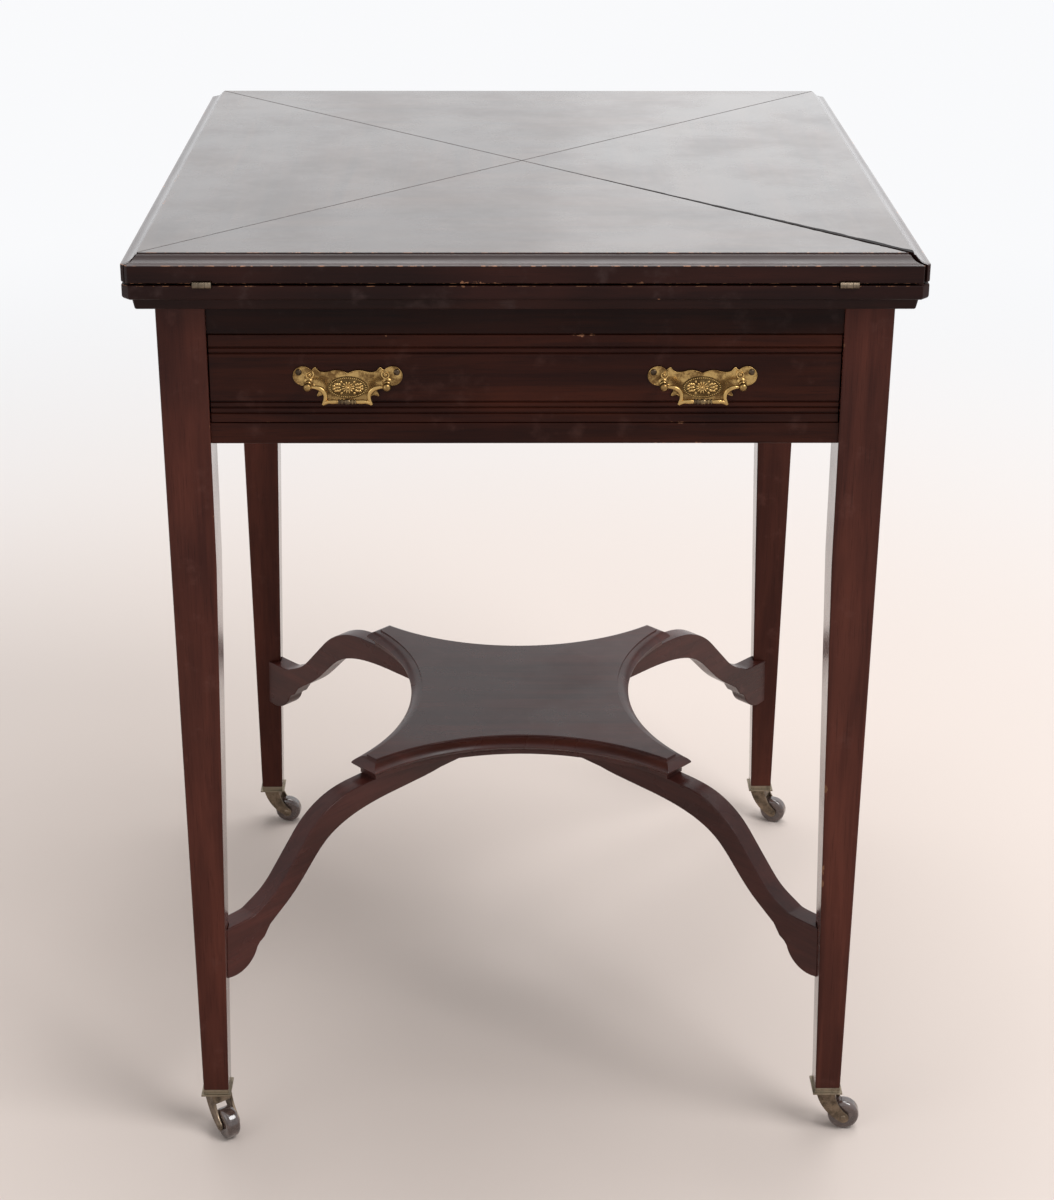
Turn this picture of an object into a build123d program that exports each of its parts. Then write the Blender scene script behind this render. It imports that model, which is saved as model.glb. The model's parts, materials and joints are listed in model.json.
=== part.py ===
from build123d import *
from math import cos, degrees, radians, sin, sqrt
import os

# Square games table whose top is four triangular leaves that fold out like an
# envelope. The leaves are hinged to a bed board, the bed board turns on the
# frame, and the frame holds one drawer. Four tapered legs on casters are
# joined by curved stretchers that carry a small shelf.
# Lengths are in millimetres, z is up and the drawer faces minus y. The origin
# is on the floor under the middle of the table.

os.makedirs("parts", exist_ok=True)

# Overall sizes
top_side = 560.0
top_height = 741.4
board_thickness = 19.4
top_overhang = 20.0
frame_height = 105.0
cut_margin = 5.0

# Top boards
hinge_gap = 1.6
leaf_gap = 0.6
worn_seam_gap = 2.4
corner_clip = 5.5
edge_flat = 12.8
edge_mould_width = 11.0
edge_riser = 1.4
edge_ledge = 1.2
edge_lip = 1.8
edge_lip_rise = 0.4
edge_arris = 0.5
bed_edge_flat = 10.6
bed_edge_round = 2.5
bed_edge_inset = 6.2
bed_edge_slope = 1.5
bed_bottom_round = 1.8

# Playing surface let into the boards
baize_thickness = 1.0
baize_recess = 1.2
baize_play = 0.3
baize_border = 24.0
baize_outer_border = 34.0

# Hinges of the leaves
hinge_inset = 56.5
hinge_length = 13.0
hinge_barrel = 4.6
hinge_pin = 1.7
hinge_plate_width = 12.0
hinge_plate_thickness = 1.2
hinge_mortise_play = 0.3
knuckle_gap = 0.25
pin_play = 0.06
hinge_screw = 1.8
hinge_screw_head = 3.2
hinge_screw_length = 9.0
hinge_screw_pitch = 7.0
screw_play = 0.05

# Swivel of the top on the frame
swivel_clearance = 0.4
swivel_turn = 45.0
pivot_plate_side = 70.0
pivot_plate_thickness = 3.0
pivot_stud = 10.0
pivot_play = 0.08
pivot_washer_side = 24.0
pivot_washer_thickness = 2.0
pivot_nut_across = 16.0
pivot_nut_height = 6.0
pivot_pocket = 30.0
pivot_pocket_depth = 12.0
pivot_stud_end = 1.0
pivot_screw = 4.0
pivot_screw_head = 7.6
pivot_screw_length = 13.0
pivot_screw_inset = 9.0
pivot_washer_gap = 0.3
peg_radius = 44.0
peg_width = 8.0
peg_length = 8.0
peg_seat = 10.0
peg_slot_play = 0.5
peg_slot_depth = 9.5
peg_slot_over = 1.5

# Legs
leg_width = 35.0
leg_foot_width = 20.0
leg_taper_out = 4.5
leg_knee_height = 500.0
leg_foot_height = 41.2
leg_arris = 0.9

# Rails of the frame
rail_thickness = 18.0
rail_recess = 3.0
front_top_rail = 22.5
front_bottom_rail = 15.7
front_rail_depth = 50.0
rail_arris = 0.6
tenon_thickness = 8.0
tenon_length = 17.0
tenon_shoulder = 4.0
tenon_play = 0.1
bearer_width = 112.0
runner_width = 22.0
guide_rise = 16.0
kicker_width = 20.0
kicker_height = 14.0
stop_width = 26.0
stop_depth = 16.0
stop_height = 5.0
stop_gap = 0.3
stop_spread = 220.0

# Drawer
drawer_gap = 0.5
drawer_side_gap = 0.8
drawer_run_gap = 0.2
drawer_front_thickness = 20.0
drawer_side_thickness = 10.0
drawer_back_thickness = 10.0
drawer_back_space = 66.0
drawer_bottom_thickness = 5.0
drawer_bottom_lift = 8.0
drawer_groove = 5.0
drawer_back_drop = 8.0
drawer_lap = 6.0
groove_width = 1.6
groove_depth = 1.3
groove_pitch = 4.3
groove_top_inset = 9.4
groove_bottom_inset = 7.1
front_arris = 0.5

# Drawer pulls
pull_spacing = 252.0
pull_drop = 5.9
pull_plate_thickness = 1.4
pull_half_width = 38.6
pull_height = 24.6
pull_lobe = 6.9
pull_oval_length = 27.5
pull_oval_height = 15.6
pull_oval_rise = 0.9
pull_boss = 5.4
pull_boss_rise = 1.3
pull_boss_taper = 30.0
pull_curl = 4.4
pull_curl_rise = 0.7
pull_pin_head = 4.6
pull_pin_rise = 1.2
pull_pin_taper = 35.0
pull_pin_shank = 1.6
pull_pin_length = 9.0
pull_post_spacing = 56.0
pull_post_lift = 3.5
pull_post = 4.4
pull_post_base = 7.0
pull_post_base_rise = 2.0
pull_post_base_taper = 20.0
pull_post_reach = 9.5
pull_ball = 6.4
pull_shank = 3.0
pull_pivot = 1.6
pull_pivot_play = 0.08
pull_pivot_depth = 2.4
bail_wire = 2.6
bail_gap = 0.35
bail_drop = 10.9
bail_corner_drop = 14.2
bail_grip = 3.0
bail_ring = 4.4
bail_ring_width = 1.6
bail_ring_pitch = 2.4

# Shelf and stretchers
shelf_top = 270.0
shelf_thickness = 16.0
shelf_mid = 95.0
shelf_corner = 184.0
shelf_clip = 29.0
shelf_mould_width = 9.5
shelf_riser = 1.2
shelf_round_drop = 5.3
shelf_round_radius = 12.0
shelf_nose_height = 1.0
shelf_under_width = 5.5
shelf_under_drop = 5.0
stretcher_thickness = 17.0
stretcher_depth = 18.0
stretcher_foot_bottom = 138.0
stretcher_foot_top = 182.5

# Casters
caster_plate_side = 23.6
caster_plate_thickness = 5.2
caster_plate_lip = 1.6
caster_spindle = 6.0
caster_spindle_play = 0.08
caster_seat_gap = 0.3
caster_spindle_roof = 0.8
caster_trail = 15.0
caster_wheel = 25.0
caster_wheel_width = 12.0
caster_tread = 4.0
caster_wheel_edge = 8.2
caster_axle = 3.2
caster_axle_play = 0.08
caster_arm = 2.2
caster_arm_gap = 0.5
caster_arm_end = 4.6
caster_crown_height = 6.6
caster_crown_side = 15.0
caster_front_left_turn = -55.0
caster_front_right_turn = -8.0
caster_back_left_turn = -8.0
caster_back_right_turn = -22.0

# Levels and positions that follow from the sizes above
base_side = top_side - 2 * top_overhang
half_top = top_side / 2
half_base = base_side / 2
hinge_z = top_height - board_thickness - hinge_gap / 2
hinge_out = half_top + hinge_gap / 2
leaf_bottom = hinge_z + hinge_gap / 2
bed_top = hinge_z - hinge_gap / 2
bed_bottom = bed_top - board_thickness
frame_top = bed_bottom - swivel_clearance
frame_bottom = frame_top - frame_height
front_face = half_base - rail_recess
rail_inner = front_face - rail_thickness
leg_centre = half_base - leg_width / 2
leg_inner = half_base - leg_width
foot_centre = half_base - leg_taper_out - leg_foot_width / 2
drawer_length = front_face + rail_inner - drawer_back_space
opening_top = frame_top - front_top_rail
opening_bottom = frame_bottom + front_bottom_rail

pieces = {}


def keep(name, shape):
    shape.label = name
    pieces[name] = shape


# Legs: square down to the knee, then tapered to the caster, each with the
# mortises of the two rails that it carries.
corner_places = {
    "front_left": (-1, -1),
    "front_right": (1, -1),
    "back_left": (-1, 1),
    "back_right": (1, 1),
}
rail_middle = front_face - rail_thickness / 2
mortise_width = tenon_thickness + 2 * tenon_play
mortise_length = tenon_length + tenon_play
mortise_centre = leg_inner + mortise_length / 2
side_tenon_height = frame_height - 2 * tenon_shoulder
side_tenon_z = (frame_top + frame_bottom) / 2
front_tenons = [
    (frame_top - front_top_rail / 2, front_top_rail - 2 * tenon_shoulder),
    (frame_bottom + front_bottom_rail / 2, front_bottom_rail - 2 * tenon_shoulder),
]
caster_bore = caster_spindle / 2 + caster_spindle_play
for corner, (sx, sy) in corner_places.items():
    with BuildPart() as leg:
        with BuildSketch(Plane.XY.offset(leg_knee_height)) as square_part:
            with Locations((sx * leg_centre, sy * leg_centre)):
                Rectangle(leg_width, leg_width)
            chamfer(square_part.vertices(), length=leg_arris)
        extrude(amount=frame_top - leg_knee_height)
        with BuildSketch(Plane.XY.offset(leg_knee_height)) as knee:
            with Locations((sx * leg_centre, sy * leg_centre)):
                Rectangle(leg_width, leg_width)
            chamfer(knee.vertices(), length=leg_arris)
        with BuildSketch(Plane.XY.offset(leg_foot_height)) as foot_end:
            with Locations((sx * foot_centre, sy * foot_centre)):
                Rectangle(leg_foot_width, leg_foot_width)
            chamfer(foot_end.vertices(), length=leg_arris)
        loft()
        with Locations((sx * rail_middle, sy * mortise_centre, side_tenon_z)):
            Box(mortise_width, mortise_length, side_tenon_height + 2 * tenon_play, mode=Mode.SUBTRACT)
        if sy > 0:
            with Locations((sx * mortise_centre, sy * rail_middle, side_tenon_z)):
                Box(mortise_length, mortise_width, side_tenon_height + 2 * tenon_play, mode=Mode.SUBTRACT)
        else:
            for tenon_z, tenon_height in front_tenons:
                with Locations((sx * mortise_centre, sy * rail_middle, tenon_z)):
                    Box(mortise_length, mortise_width, tenon_height + 2 * tenon_play, mode=Mode.SUBTRACT)
    keep("leg_" + corner, leg.part)

# Side rails run from leg to leg, set back a little from the legs' faces.
for side, sx in (("left", -1), ("right", 1)):
    with BuildPart() as side_rail:
        with Locations((sx * rail_middle, 0, side_tenon_z)):
            Box(rail_thickness, 2 * leg_inner, frame_height)
        chamfer(
            side_rail.edges().filter_by(Axis.Y).group_by(Axis.Z)[0],
            length=rail_arris,
        )
        with Locations((sx * rail_middle, 0, side_tenon_z)):
            Box(tenon_thickness, 2 * (leg_inner + tenon_length), side_tenon_height)
    keep("rail_" + side, side_rail.part)

with BuildPart() as back_rail:
    with Locations((0, rail_middle, side_tenon_z)):
        Box(2 * leg_inner, rail_thickness, frame_height)
    chamfer(back_rail.edges().filter_by(Axis.X).group_by(Axis.Z)[0], length=rail_arris)
    with Locations((0, rail_middle, side_tenon_z)):
        Box(2 * (leg_inner + tenon_length), tenon_thickness, side_tenon_height)
keep("rail_back", back_rail.part)

# Front rails above and below the drawer, laid flat and deeper than the legs.
front_rail_y = -front_face + front_rail_depth / 2
for name, (tenon_z, tenon_height), rail_height in (
    ("rail_front_top", front_tenons[0], front_top_rail),
    ("rail_front_bottom", front_tenons[1], front_bottom_rail),
):
    with BuildPart() as front_rail:
        with Locations((0, front_rail_y, tenon_z)):
            Box(2 * leg_inner, front_rail_depth, rail_height)
        chamfer(
            front_rail.edges().filter_by(Axis.X).group_by(Axis.Y)[0].group_by(Axis.Z)[0],
            length=rail_arris,
        )
        with Locations((0, -rail_middle, tenon_z)):
            Box(2 * (leg_inner + tenon_length), tenon_thickness, tenon_height)
    keep(name, front_rail.part)

# Bearer across the frame that carries the pivot of the top. The pocket for the
# nut is underneath and the curved slot for the stop peg is on top.
slot_over_turn = degrees(peg_slot_over / peg_radius)
with BuildPart() as bearer:
    with Locations((0, 0, frame_top - front_top_rail / 2)):
        Box(2 * rail_inner, bearer_width, front_top_rail)
    with BuildSketch(Plane.XY.offset(frame_top)):
        Circle(pivot_stud / 2 + pivot_play)
    extrude(amount=-front_top_rail, mode=Mode.SUBTRACT)
    with BuildSketch(Plane.XY.offset(opening_top)):
        Circle(pivot_pocket / 2)
    extrude(amount=pivot_pocket_depth, mode=Mode.SUBTRACT)
    with BuildSketch(Plane.XY.offset(frame_top)):
        with BuildLine():
            slot_path = CenterArc((0, 0), peg_radius, -slot_over_turn, swivel_turn + 2 * slot_over_turn)
        SlotArc(slot_path, peg_width + 2 * peg_slot_play)
    extrude(amount=-peg_slot_depth, mode=Mode.SUBTRACT)
keep("swivel_bearer", bearer.part)

# Runners carry the drawer sides, guides keep the drawer central, and kickers
# above stop it from tipping when it is out.
runner_front = -front_face + front_rail_depth
runner_length = rail_inner - runner_front
with BuildPart() as runners:
    for sx in (-1, 1):
        with Locations((sx * (leg_inner - runner_width / 2), runner_front + runner_length / 2,
                        opening_bottom - front_bottom_rail / 2)):
            Box(runner_width, runner_length, front_bottom_rail)
keep("drawer_runners", runners.part)

guide_width = rail_inner - leg_inner
guide_height = front_bottom_rail + guide_rise
with BuildPart() as guides:
    for sx in (-1, 1):
        with Locations((sx * (leg_inner + guide_width / 2), 0, frame_bottom + guide_height / 2)):
            Box(guide_width, 2 * leg_inner, guide_height)
keep("drawer_guides", guides.part)

kicker_front_length = -runner_front - bearer_width / 2
kicker_back_length = rail_inner - bearer_width / 2
with BuildPart() as kickers:
    for sx in (-1, 1):
        with Locations(
            (sx * (leg_inner - kicker_width / 2), -bearer_width / 2 - kicker_front_length / 2,
             opening_top + kicker_height / 2)
        ):
            Box(kicker_width, kicker_front_length, kicker_height)
        with Locations(
            (sx * (leg_inner - kicker_width / 2), bearer_width / 2 + kicker_back_length / 2,
             opening_top + kicker_height / 2)
        ):
            Box(kicker_width, kicker_back_length, kicker_height)
keep("drawer_kickers", kickers.part)

drawer_back_face = -front_face + drawer_front_thickness
with BuildPart() as stops:
    for sx in (-1, 1):
        with Locations((sx * stop_spread / 2, drawer_back_face + stop_gap + stop_depth / 2,
                        opening_bottom + stop_height / 2)):
            Box(stop_width, stop_depth, stop_height)
keep("drawer_stops", stops.part)

# Shelf outline: concave sides between clipped corners. Each side is an arc
# through the middle of the side and the two corner points.
corner_mid = shelf_corner / sqrt(2)
clip_reach = shelf_clip / 2 / sqrt(2)
corner_near = corner_mid - clip_reach
corner_far = corner_mid + clip_reach
arc_sag = corner_far - shelf_mid
arc_radius = (corner_near**2 + arc_sag**2) / (2 * arc_sag)
arc_centre = shelf_mid + arc_radius
# The moulded edge: a small riser, then a round that falls to a narrow nose, and
# under the nose a slope back to the underside. The waste of one concave side is
# revolved and that of one clipped corner is extruded.
nose_top = shelf_top - shelf_riser - shelf_round_drop
nose_low = nose_top - shelf_nose_height
round_chord = sqrt(shelf_mould_width**2 + shelf_round_drop**2)
round_bulge = shelf_round_radius - sqrt(shelf_round_radius**2 - round_chord**2 / 4)
mould_waste = []
for edge in (shelf_mid, shelf_corner):
    inner = -edge + shelf_mould_width
    outer = -edge - cut_margin
    under = -edge + shelf_under_width
    round_start = (inner, shelf_top - shelf_riser)
    round_middle = (
        (inner - edge) / 2 - round_bulge * shelf_round_drop / round_chord,
        nose_top + shelf_round_drop / 2 + round_bulge * shelf_mould_width / round_chord,
    )
    with BuildPart() as waste:
        with BuildSketch(Plane.YZ):
            with BuildLine():
                Polyline(
                    (outer, shelf_top + cut_margin),
                    (inner, shelf_top + cut_margin),
                    round_start,
                )
                ThreePointArc(round_start, round_middle, (-edge, nose_top))
                Polyline(
                    (-edge, nose_top),
                    (-edge, nose_low),
                    (under, nose_low - shelf_under_drop),
                    (under, shelf_top - shelf_thickness - cut_margin),
                    (outer, shelf_top - shelf_thickness - cut_margin),
                    (outer, shelf_top + cut_margin),
                )
            make_face()
        if edge == shelf_mid:
            revolve(axis=Axis((0, -arc_centre, 0), (0, 0, 1)))
        else:
            extrude(amount=2 * shelf_clip, both=True)
    mould_waste.append(waste.part)
with BuildPart() as shelf:
    with BuildSketch(Plane.XY.offset(shelf_top - shelf_thickness)):
        with BuildLine():
            for turn in range(4):
                a = radians(90 * turn)
                side_points = [
                    (x * cos(a) - y * sin(a), x * sin(a) + y * cos(a))
                    for x, y in (
                        (-corner_near, -corner_far),
                        (0, -shelf_mid),
                        (corner_near, -corner_far),
                        (corner_far, -corner_near),
                    )
                ]
                ThreePointArc(side_points[0], side_points[1], side_points[2])
                Line(side_points[2], side_points[3])
        make_face()
    extrude(amount=shelf_thickness)
    for turn in range(4):
        side_waste, corner_waste = mould_waste
        add(side_waste.rotate(Axis.Z, 90 * turn), mode=Mode.SUBTRACT)
        add(corner_waste.rotate(Axis.Z, 90 * turn + 45), mode=Mode.SUBTRACT)
keep("shelf", shelf.part)

# Stretchers: one curved board on each diagonal, from the middle of the table
# out to a leg, where its end is notched over the leg's inner arris. Their
# outline follows shares of the run from the shelf's corner to the leg.
stretcher_top = shelf_top - shelf_thickness
run_start = shelf_corner
run_end = leg_inner * sqrt(2)
run_length = run_end - run_start
fall = stretcher_top - stretcher_foot_top
drop = stretcher_top - stretcher_depth - stretcher_foot_bottom
stretcher_top_shares = [
    (0.03, 1.0), (0.306, 0.925), (0.469, 0.741), (0.566, 0.552), (0.678, 0.322), (0.79, 0.135),
    (0.902, 0.03), (1.0, 0.0)
]
stretcher_bottom_shares = [
    (-0.6, 1.0), (-0.2, 0.985), (0.05, 0.965), (0.245, 0.905), (0.345, 0.84), (0.485, 0.672), (0.64, 0.47),
    (0.75, 0.365), (0.813, 0.306)
]
cusp_shares = [(0.859, 0.218), (0.895, 0.19), (0.915, 0.16)]
belly_shares = [(0.976, 0.043), (1.13, 0.0)]
belly_end_share = 1.18
for corner, (sx, sy) in corner_places.items():
    outward = Vector(sx, sy, 0).normalized()
    board_plane = Plane(origin=(0, 0, 0), x_dir=outward, z_dir=outward.cross(Vector(0, 0, 1)))
    top_points = [(run_start + run_length * u, stretcher_foot_top + fall * v) for u, v in stretcher_top_shares]
    bottom_points = [(run_start + run_length * u, stretcher_foot_bottom + drop * v)
                     for u, v in stretcher_bottom_shares]
    cusp_points = [(run_start + run_length * u, stretcher_foot_bottom + drop * v) for u, v in cusp_shares]
    belly_points = [(run_start + run_length * u, stretcher_foot_bottom + drop * v) for u, v in belly_shares]
    board_end = run_start + run_length * belly_end_share
    with BuildPart() as stretcher:
        with BuildSketch(board_plane):
            with BuildLine():
                Line((0, stretcher_top), top_points[0])
                Spline(top_points, tangents=[(1, 0), (1, 0)])
                Polyline(
                    top_points[-1],
                    (board_end, stretcher_foot_top),
                    (board_end, stretcher_foot_bottom),
                    belly_points[-1],
                )
                ThreePointArc(belly_points[-1], belly_points[0], cusp_points[-1])
                Polyline(cusp_points[-1], cusp_points[1], cusp_points[0], bottom_points[-1])
                Spline(bottom_points[::-1])
                Polyline(
                    bottom_points[0],
                    (0, stretcher_top - stretcher_depth),
                    (0, stretcher_top),
                )
            make_face()
        extrude(amount=stretcher_thickness / 2, both=True)
        # The inner end is mitred, so that the four boards meet in the middle.
        for hand in (-1, 1):
            mitre_plane = Plane(
                origin=(0, 0, stretcher_top + cut_margin),
                x_dir=outward,
                z_dir=(0, 0, 1),
            )
            with BuildSketch(mitre_plane):
                with BuildLine():
                    Polyline(
                        (0, 0),
                        (stretcher_thickness, hand * stretcher_thickness),
                        (-stretcher_thickness, hand * stretcher_thickness),
                        (-stretcher_thickness, 0),
                        (0, 0),
                    )
                make_face()
            extrude(amount=-stretcher_top, mode=Mode.SUBTRACT)
        add(pieces["leg_" + corner], mode=Mode.SUBTRACT)
    inner_part = stretcher.part.solids().sort_by(lambda s: s.volume)[-1]
    with BuildPart() as stretcher_kept:
        add(inner_part)
    keep("stretcher_" + corner, stretcher_kept.part)

# Casters: a plate under each leg, a swivelling horn and a rounded wheel.
plate_bottom = leg_foot_height - caster_plate_thickness
horn_top = plate_bottom - caster_seat_gap
spindle_top = leg_foot_height - caster_spindle_roof
with BuildPart() as caster_plates:
    for sx, sy in corner_places.values():
        with BuildSketch(Plane.XY.offset(plate_bottom)):
            with Locations((sx * foot_centre, sy * foot_centre)):
                Rectangle(caster_plate_side, caster_plate_side)
        extrude(amount=caster_plate_lip)
        with BuildSketch(Plane.XY.offset(plate_bottom + caster_plate_lip)):
            with Locations((sx * foot_centre, sy * foot_centre)):
                Rectangle(leg_foot_width, leg_foot_width)
        extrude(amount=caster_plate_thickness - caster_plate_lip)
        with BuildSketch(Plane.XY.offset(plate_bottom)):
            with Locations((sx * foot_centre, sy * foot_centre)):
                Circle(caster_bore)
        extrude(amount=spindle_top + caster_spindle_play - plate_bottom, mode=Mode.SUBTRACT)
keep("caster_plates", caster_plates.part)

caster_turns = {
    "front_left": caster_front_left_turn,
    "front_right": caster_front_right_turn,
    "back_left": caster_back_left_turn,
    "back_right": caster_back_right_turn,
}
horn_bow_share = 0.55
horn_heel_share = 0.125
wheel_z = caster_wheel / 2
arm_inner = caster_wheel_width / 2 + caster_arm_gap
arm_outer = arm_inner + caster_arm
crown_bottom = horn_top - caster_crown_height
for corner, (sx, sy) in corner_places.items():
    turn = caster_turns[corner]
    trail_dir = Vector(1, 0, 0).rotate(Axis.Z, turn)
    foot = Vector(sx * foot_centre, sy * foot_centre, 0)
    upright = Plane(origin=foot, x_dir=trail_dir, z_dir=trail_dir.cross(Vector(0, 0, 1)))
    level = Plane(origin=foot, x_dir=trail_dir, z_dir=(0, 0, 1))
    with BuildPart() as horn:
        with BuildSketch(upright):
            with BuildLine():
                Line((-caster_crown_side / 2, horn_top), (caster_crown_side / 2, horn_top))
                ThreePointArc(
                    (caster_crown_side / 2, horn_top),
                    (caster_trail * horn_bow_share + caster_arm_end / 2, wheel_z + caster_wheel / 2),
                    (caster_trail + caster_arm_end / sqrt(2), wheel_z + caster_arm_end / sqrt(2)),
                )
                ThreePointArc(
                    (caster_trail + caster_arm_end / sqrt(2), wheel_z + caster_arm_end / sqrt(2)),
                    (caster_trail + caster_arm_end, wheel_z),
                    (caster_trail - caster_arm_end / sqrt(2), wheel_z - caster_arm_end / sqrt(2)),
                )
                ThreePointArc(
                    (caster_trail - caster_arm_end / sqrt(2), wheel_z - caster_arm_end / sqrt(2)),
                    (caster_trail * horn_heel_share, wheel_z + caster_arm_end),
                    (-caster_crown_side / 2, horn_top),
                )
            make_face()
        extrude(amount=arm_outer, both=True)
        with BuildSketch(upright):
            with Locations((caster_trail, wheel_z)):
                Circle(caster_wheel / 2 + caster_arm_gap)
            with BuildLine():
                Polyline(
                    (-caster_crown_side, 0),
                    (caster_trail + caster_wheel, 0),
                    (caster_trail + caster_wheel, crown_bottom),
                    (-caster_crown_side, crown_bottom),
                    (-caster_crown_side, 0),
                )
            make_face()
        extrude(amount=arm_inner, both=True, mode=Mode.SUBTRACT)
        with BuildSketch(upright):
            with Locations((caster_trail, wheel_z)):
                Circle(caster_axle / 2)
        extrude(amount=arm_outer, both=True)
        with BuildSketch(level.offset(horn_top)):
            Circle(caster_spindle / 2)
        extrude(amount=spindle_top - horn_top)
    keep("caster_horn_" + corner, horn.part)
    wheel_axis = foot + trail_dir * caster_trail + Vector(0, 0, wheel_z)
    with BuildPart() as wheel:
        with BuildSketch(Plane(origin=wheel_axis, x_dir=(0, 0, 1), z_dir=trail_dir)):
            with BuildLine():
                Polyline(
                    (caster_axle / 2 + caster_axle_play, -caster_wheel_width / 2),
                    (caster_wheel_edge, -caster_wheel_width / 2),
                )
                Spline(
                    (caster_wheel_edge, -caster_wheel_width / 2),
                    (caster_wheel / 2, -caster_tread / 2),
                    tangents=[(1, 0), (0, 1)],
                )
                Line((caster_wheel / 2, -caster_tread / 2), (caster_wheel / 2, caster_tread / 2))
                Spline(
                    (caster_wheel / 2, caster_tread / 2),
                    (caster_wheel_edge, caster_wheel_width / 2),
                    tangents=[(0, 1), (-1, 0)],
                )
                Polyline(
                    (caster_wheel_edge, caster_wheel_width / 2),
                    (caster_axle / 2 + caster_axle_play, caster_wheel_width / 2),
                    (caster_axle / 2 + caster_axle_play, -caster_wheel_width / 2),
                )
            make_face()
        revolve(axis=Axis(wheel_axis, trail_dir.cross(Vector(0, 0, 1))))
    keep("caster_wheel_" + corner, wheel.part)

# Bed board: moulded underneath along its edges, with the playing surface, the
# hinges and the pivot let into it.
edge_ways = {"front": 0, "right": 90, "back": 180, "left": 270}
clip_distance = (top_side - corner_clip) / sqrt(2)
bed_ledge = bed_top - bed_edge_flat
hinge_x = half_top - hinge_inset
barrel_radius = hinge_barrel / 2
mortise_radius = barrel_radius + hinge_mortise_play
mortise_span = hinge_length + 2 * hinge_mortise_play
plate_end = -half_top + hinge_plate_width
hinge_screw_share = 0.62
screw_y = -half_top + hinge_plate_width * hinge_screw_share
screw_head_depth = (hinge_screw_head - hinge_screw) / 2
knuckle = (hinge_length - 2 * knuckle_gap) / 3
knuckle_pitch = knuckle + knuckle_gap
pin_bore = hinge_pin / 2 + pin_play
peg_bore = peg_width / 2 + screw_play


def edge_plane(turn):
    # A plane square to the edge that faces the given way. Its first axis
    # points inwards over the table and its second axis is up.
    inwards = Vector(0, 1, 0).rotate(Axis.Z, turn)
    along = Vector(1, 0, 0).rotate(Axis.Z, turn)
    return Plane(origin=(0, 0, 0), x_dir=inwards, z_dir=along)


with BuildPart() as bed:
    with BuildSketch(Plane.XY.offset(bed_bottom)) as bed_plan:
        Rectangle(top_side, top_side)
        chamfer(bed_plan.vertices(), length=corner_clip)
    extrude(amount=board_thickness)
    for turn in range(8):
        edge = -half_top if turn % 2 == 0 else -clip_distance
        slope_end = edge + bed_edge_inset + bed_edge_slope
        with BuildSketch(edge_plane(45 * turn)):
            with BuildLine():
                Polyline(
                    (edge - cut_margin, bed_bottom - cut_margin),
                    (edge - cut_margin, bed_ledge + bed_edge_round),
                    (edge, bed_ledge + bed_edge_round),
                )
                RadiusArc(
                    (edge, bed_ledge + bed_edge_round),
                    (edge + bed_edge_round, bed_ledge),
                    -bed_edge_round,
                )
                Polyline(
                    (edge + bed_edge_round, bed_ledge),
                    (edge + bed_edge_inset, bed_ledge),
                    (slope_end, bed_bottom + bed_bottom_round),
                )
                RadiusArc(
                    (slope_end, bed_bottom + bed_bottom_round),
                    (slope_end + bed_bottom_round, bed_bottom),
                    -bed_bottom_round,
                )
                Polyline(
                    (slope_end + bed_bottom_round, bed_bottom),
                    (slope_end + bed_bottom_round, bed_bottom - cut_margin),
                    (edge - cut_margin, bed_bottom - cut_margin),
                )
            make_face()
            with BuildLine():
                Polyline(
                    (edge - cut_margin, bed_top + cut_margin),
                    (edge + edge_arris + cut_margin, bed_top + cut_margin),
                    (edge - cut_margin, bed_top - edge_arris - cut_margin),
                    (edge - cut_margin, bed_top + cut_margin),
                )
            make_face()
        extrude(amount=half_top + cut_margin, both=True, mode=Mode.SUBTRACT)
    with Locations((0, 0, bed_top - baize_recess / 2)):
        Box(top_side - 2 * baize_border, top_side - 2 * baize_border, baize_recess, mode=Mode.SUBTRACT)
    for turn in edge_ways.values():
        for hand in (-1, 1):
            with BuildSketch(edge_plane(turn).offset(hand * hinge_x)):
                with Locations((-hinge_out, hinge_z)):
                    Circle(mortise_radius)
            extrude(amount=mortise_span / 2, both=True, mode=Mode.SUBTRACT)
            with BuildSketch(edge_plane(turn).offset(hand * hinge_x)):
                with Locations((-half_top + hinge_plate_width / 2, bed_top - hinge_plate_thickness / 2)):
                    Rectangle(hinge_plate_width, hinge_plate_thickness)
            extrude(amount=hinge_length / 2, both=True, mode=Mode.SUBTRACT)
            for step in (-1, 1):
                along = hand * hinge_x + step * hinge_screw_pitch / 2
                hole = Vector(along, screw_y, bed_top - hinge_screw_length).rotate(Axis.Z, turn)
                with BuildSketch(Plane(origin=hole)):
                    Circle(hinge_screw / 2 + screw_play)
                extrude(amount=hinge_screw_length, mode=Mode.SUBTRACT)
    with Locations((0, 0, bed_bottom + pivot_plate_thickness / 2)):
        Box(pivot_plate_side, pivot_plate_side, pivot_plate_thickness, mode=Mode.SUBTRACT)
    with BuildSketch(Plane.XY.offset(bed_bottom)):
        with GridLocations(
            pivot_plate_side - 2 * pivot_screw_inset, pivot_plate_side - 2 * pivot_screw_inset, 2, 2
        ):
            Circle(pivot_screw / 2 + screw_play)
    extrude(amount=pivot_screw_length, mode=Mode.SUBTRACT)
    with BuildSketch(Plane.XY.offset(bed_bottom)):
        with Locations((peg_radius, 0)):
            Circle(peg_bore)
    extrude(amount=peg_seat, mode=Mode.SUBTRACT)
keep("bed_board", bed.part)

baize_side = top_side - 2 * baize_border - 2 * baize_play
with BuildPart() as bed_baize:
    with Locations((0, 0, bed_top - baize_recess + baize_thickness / 2)):
        Box(baize_side, baize_side, baize_thickness)
keep("bed_baize", bed_baize.part)

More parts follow.
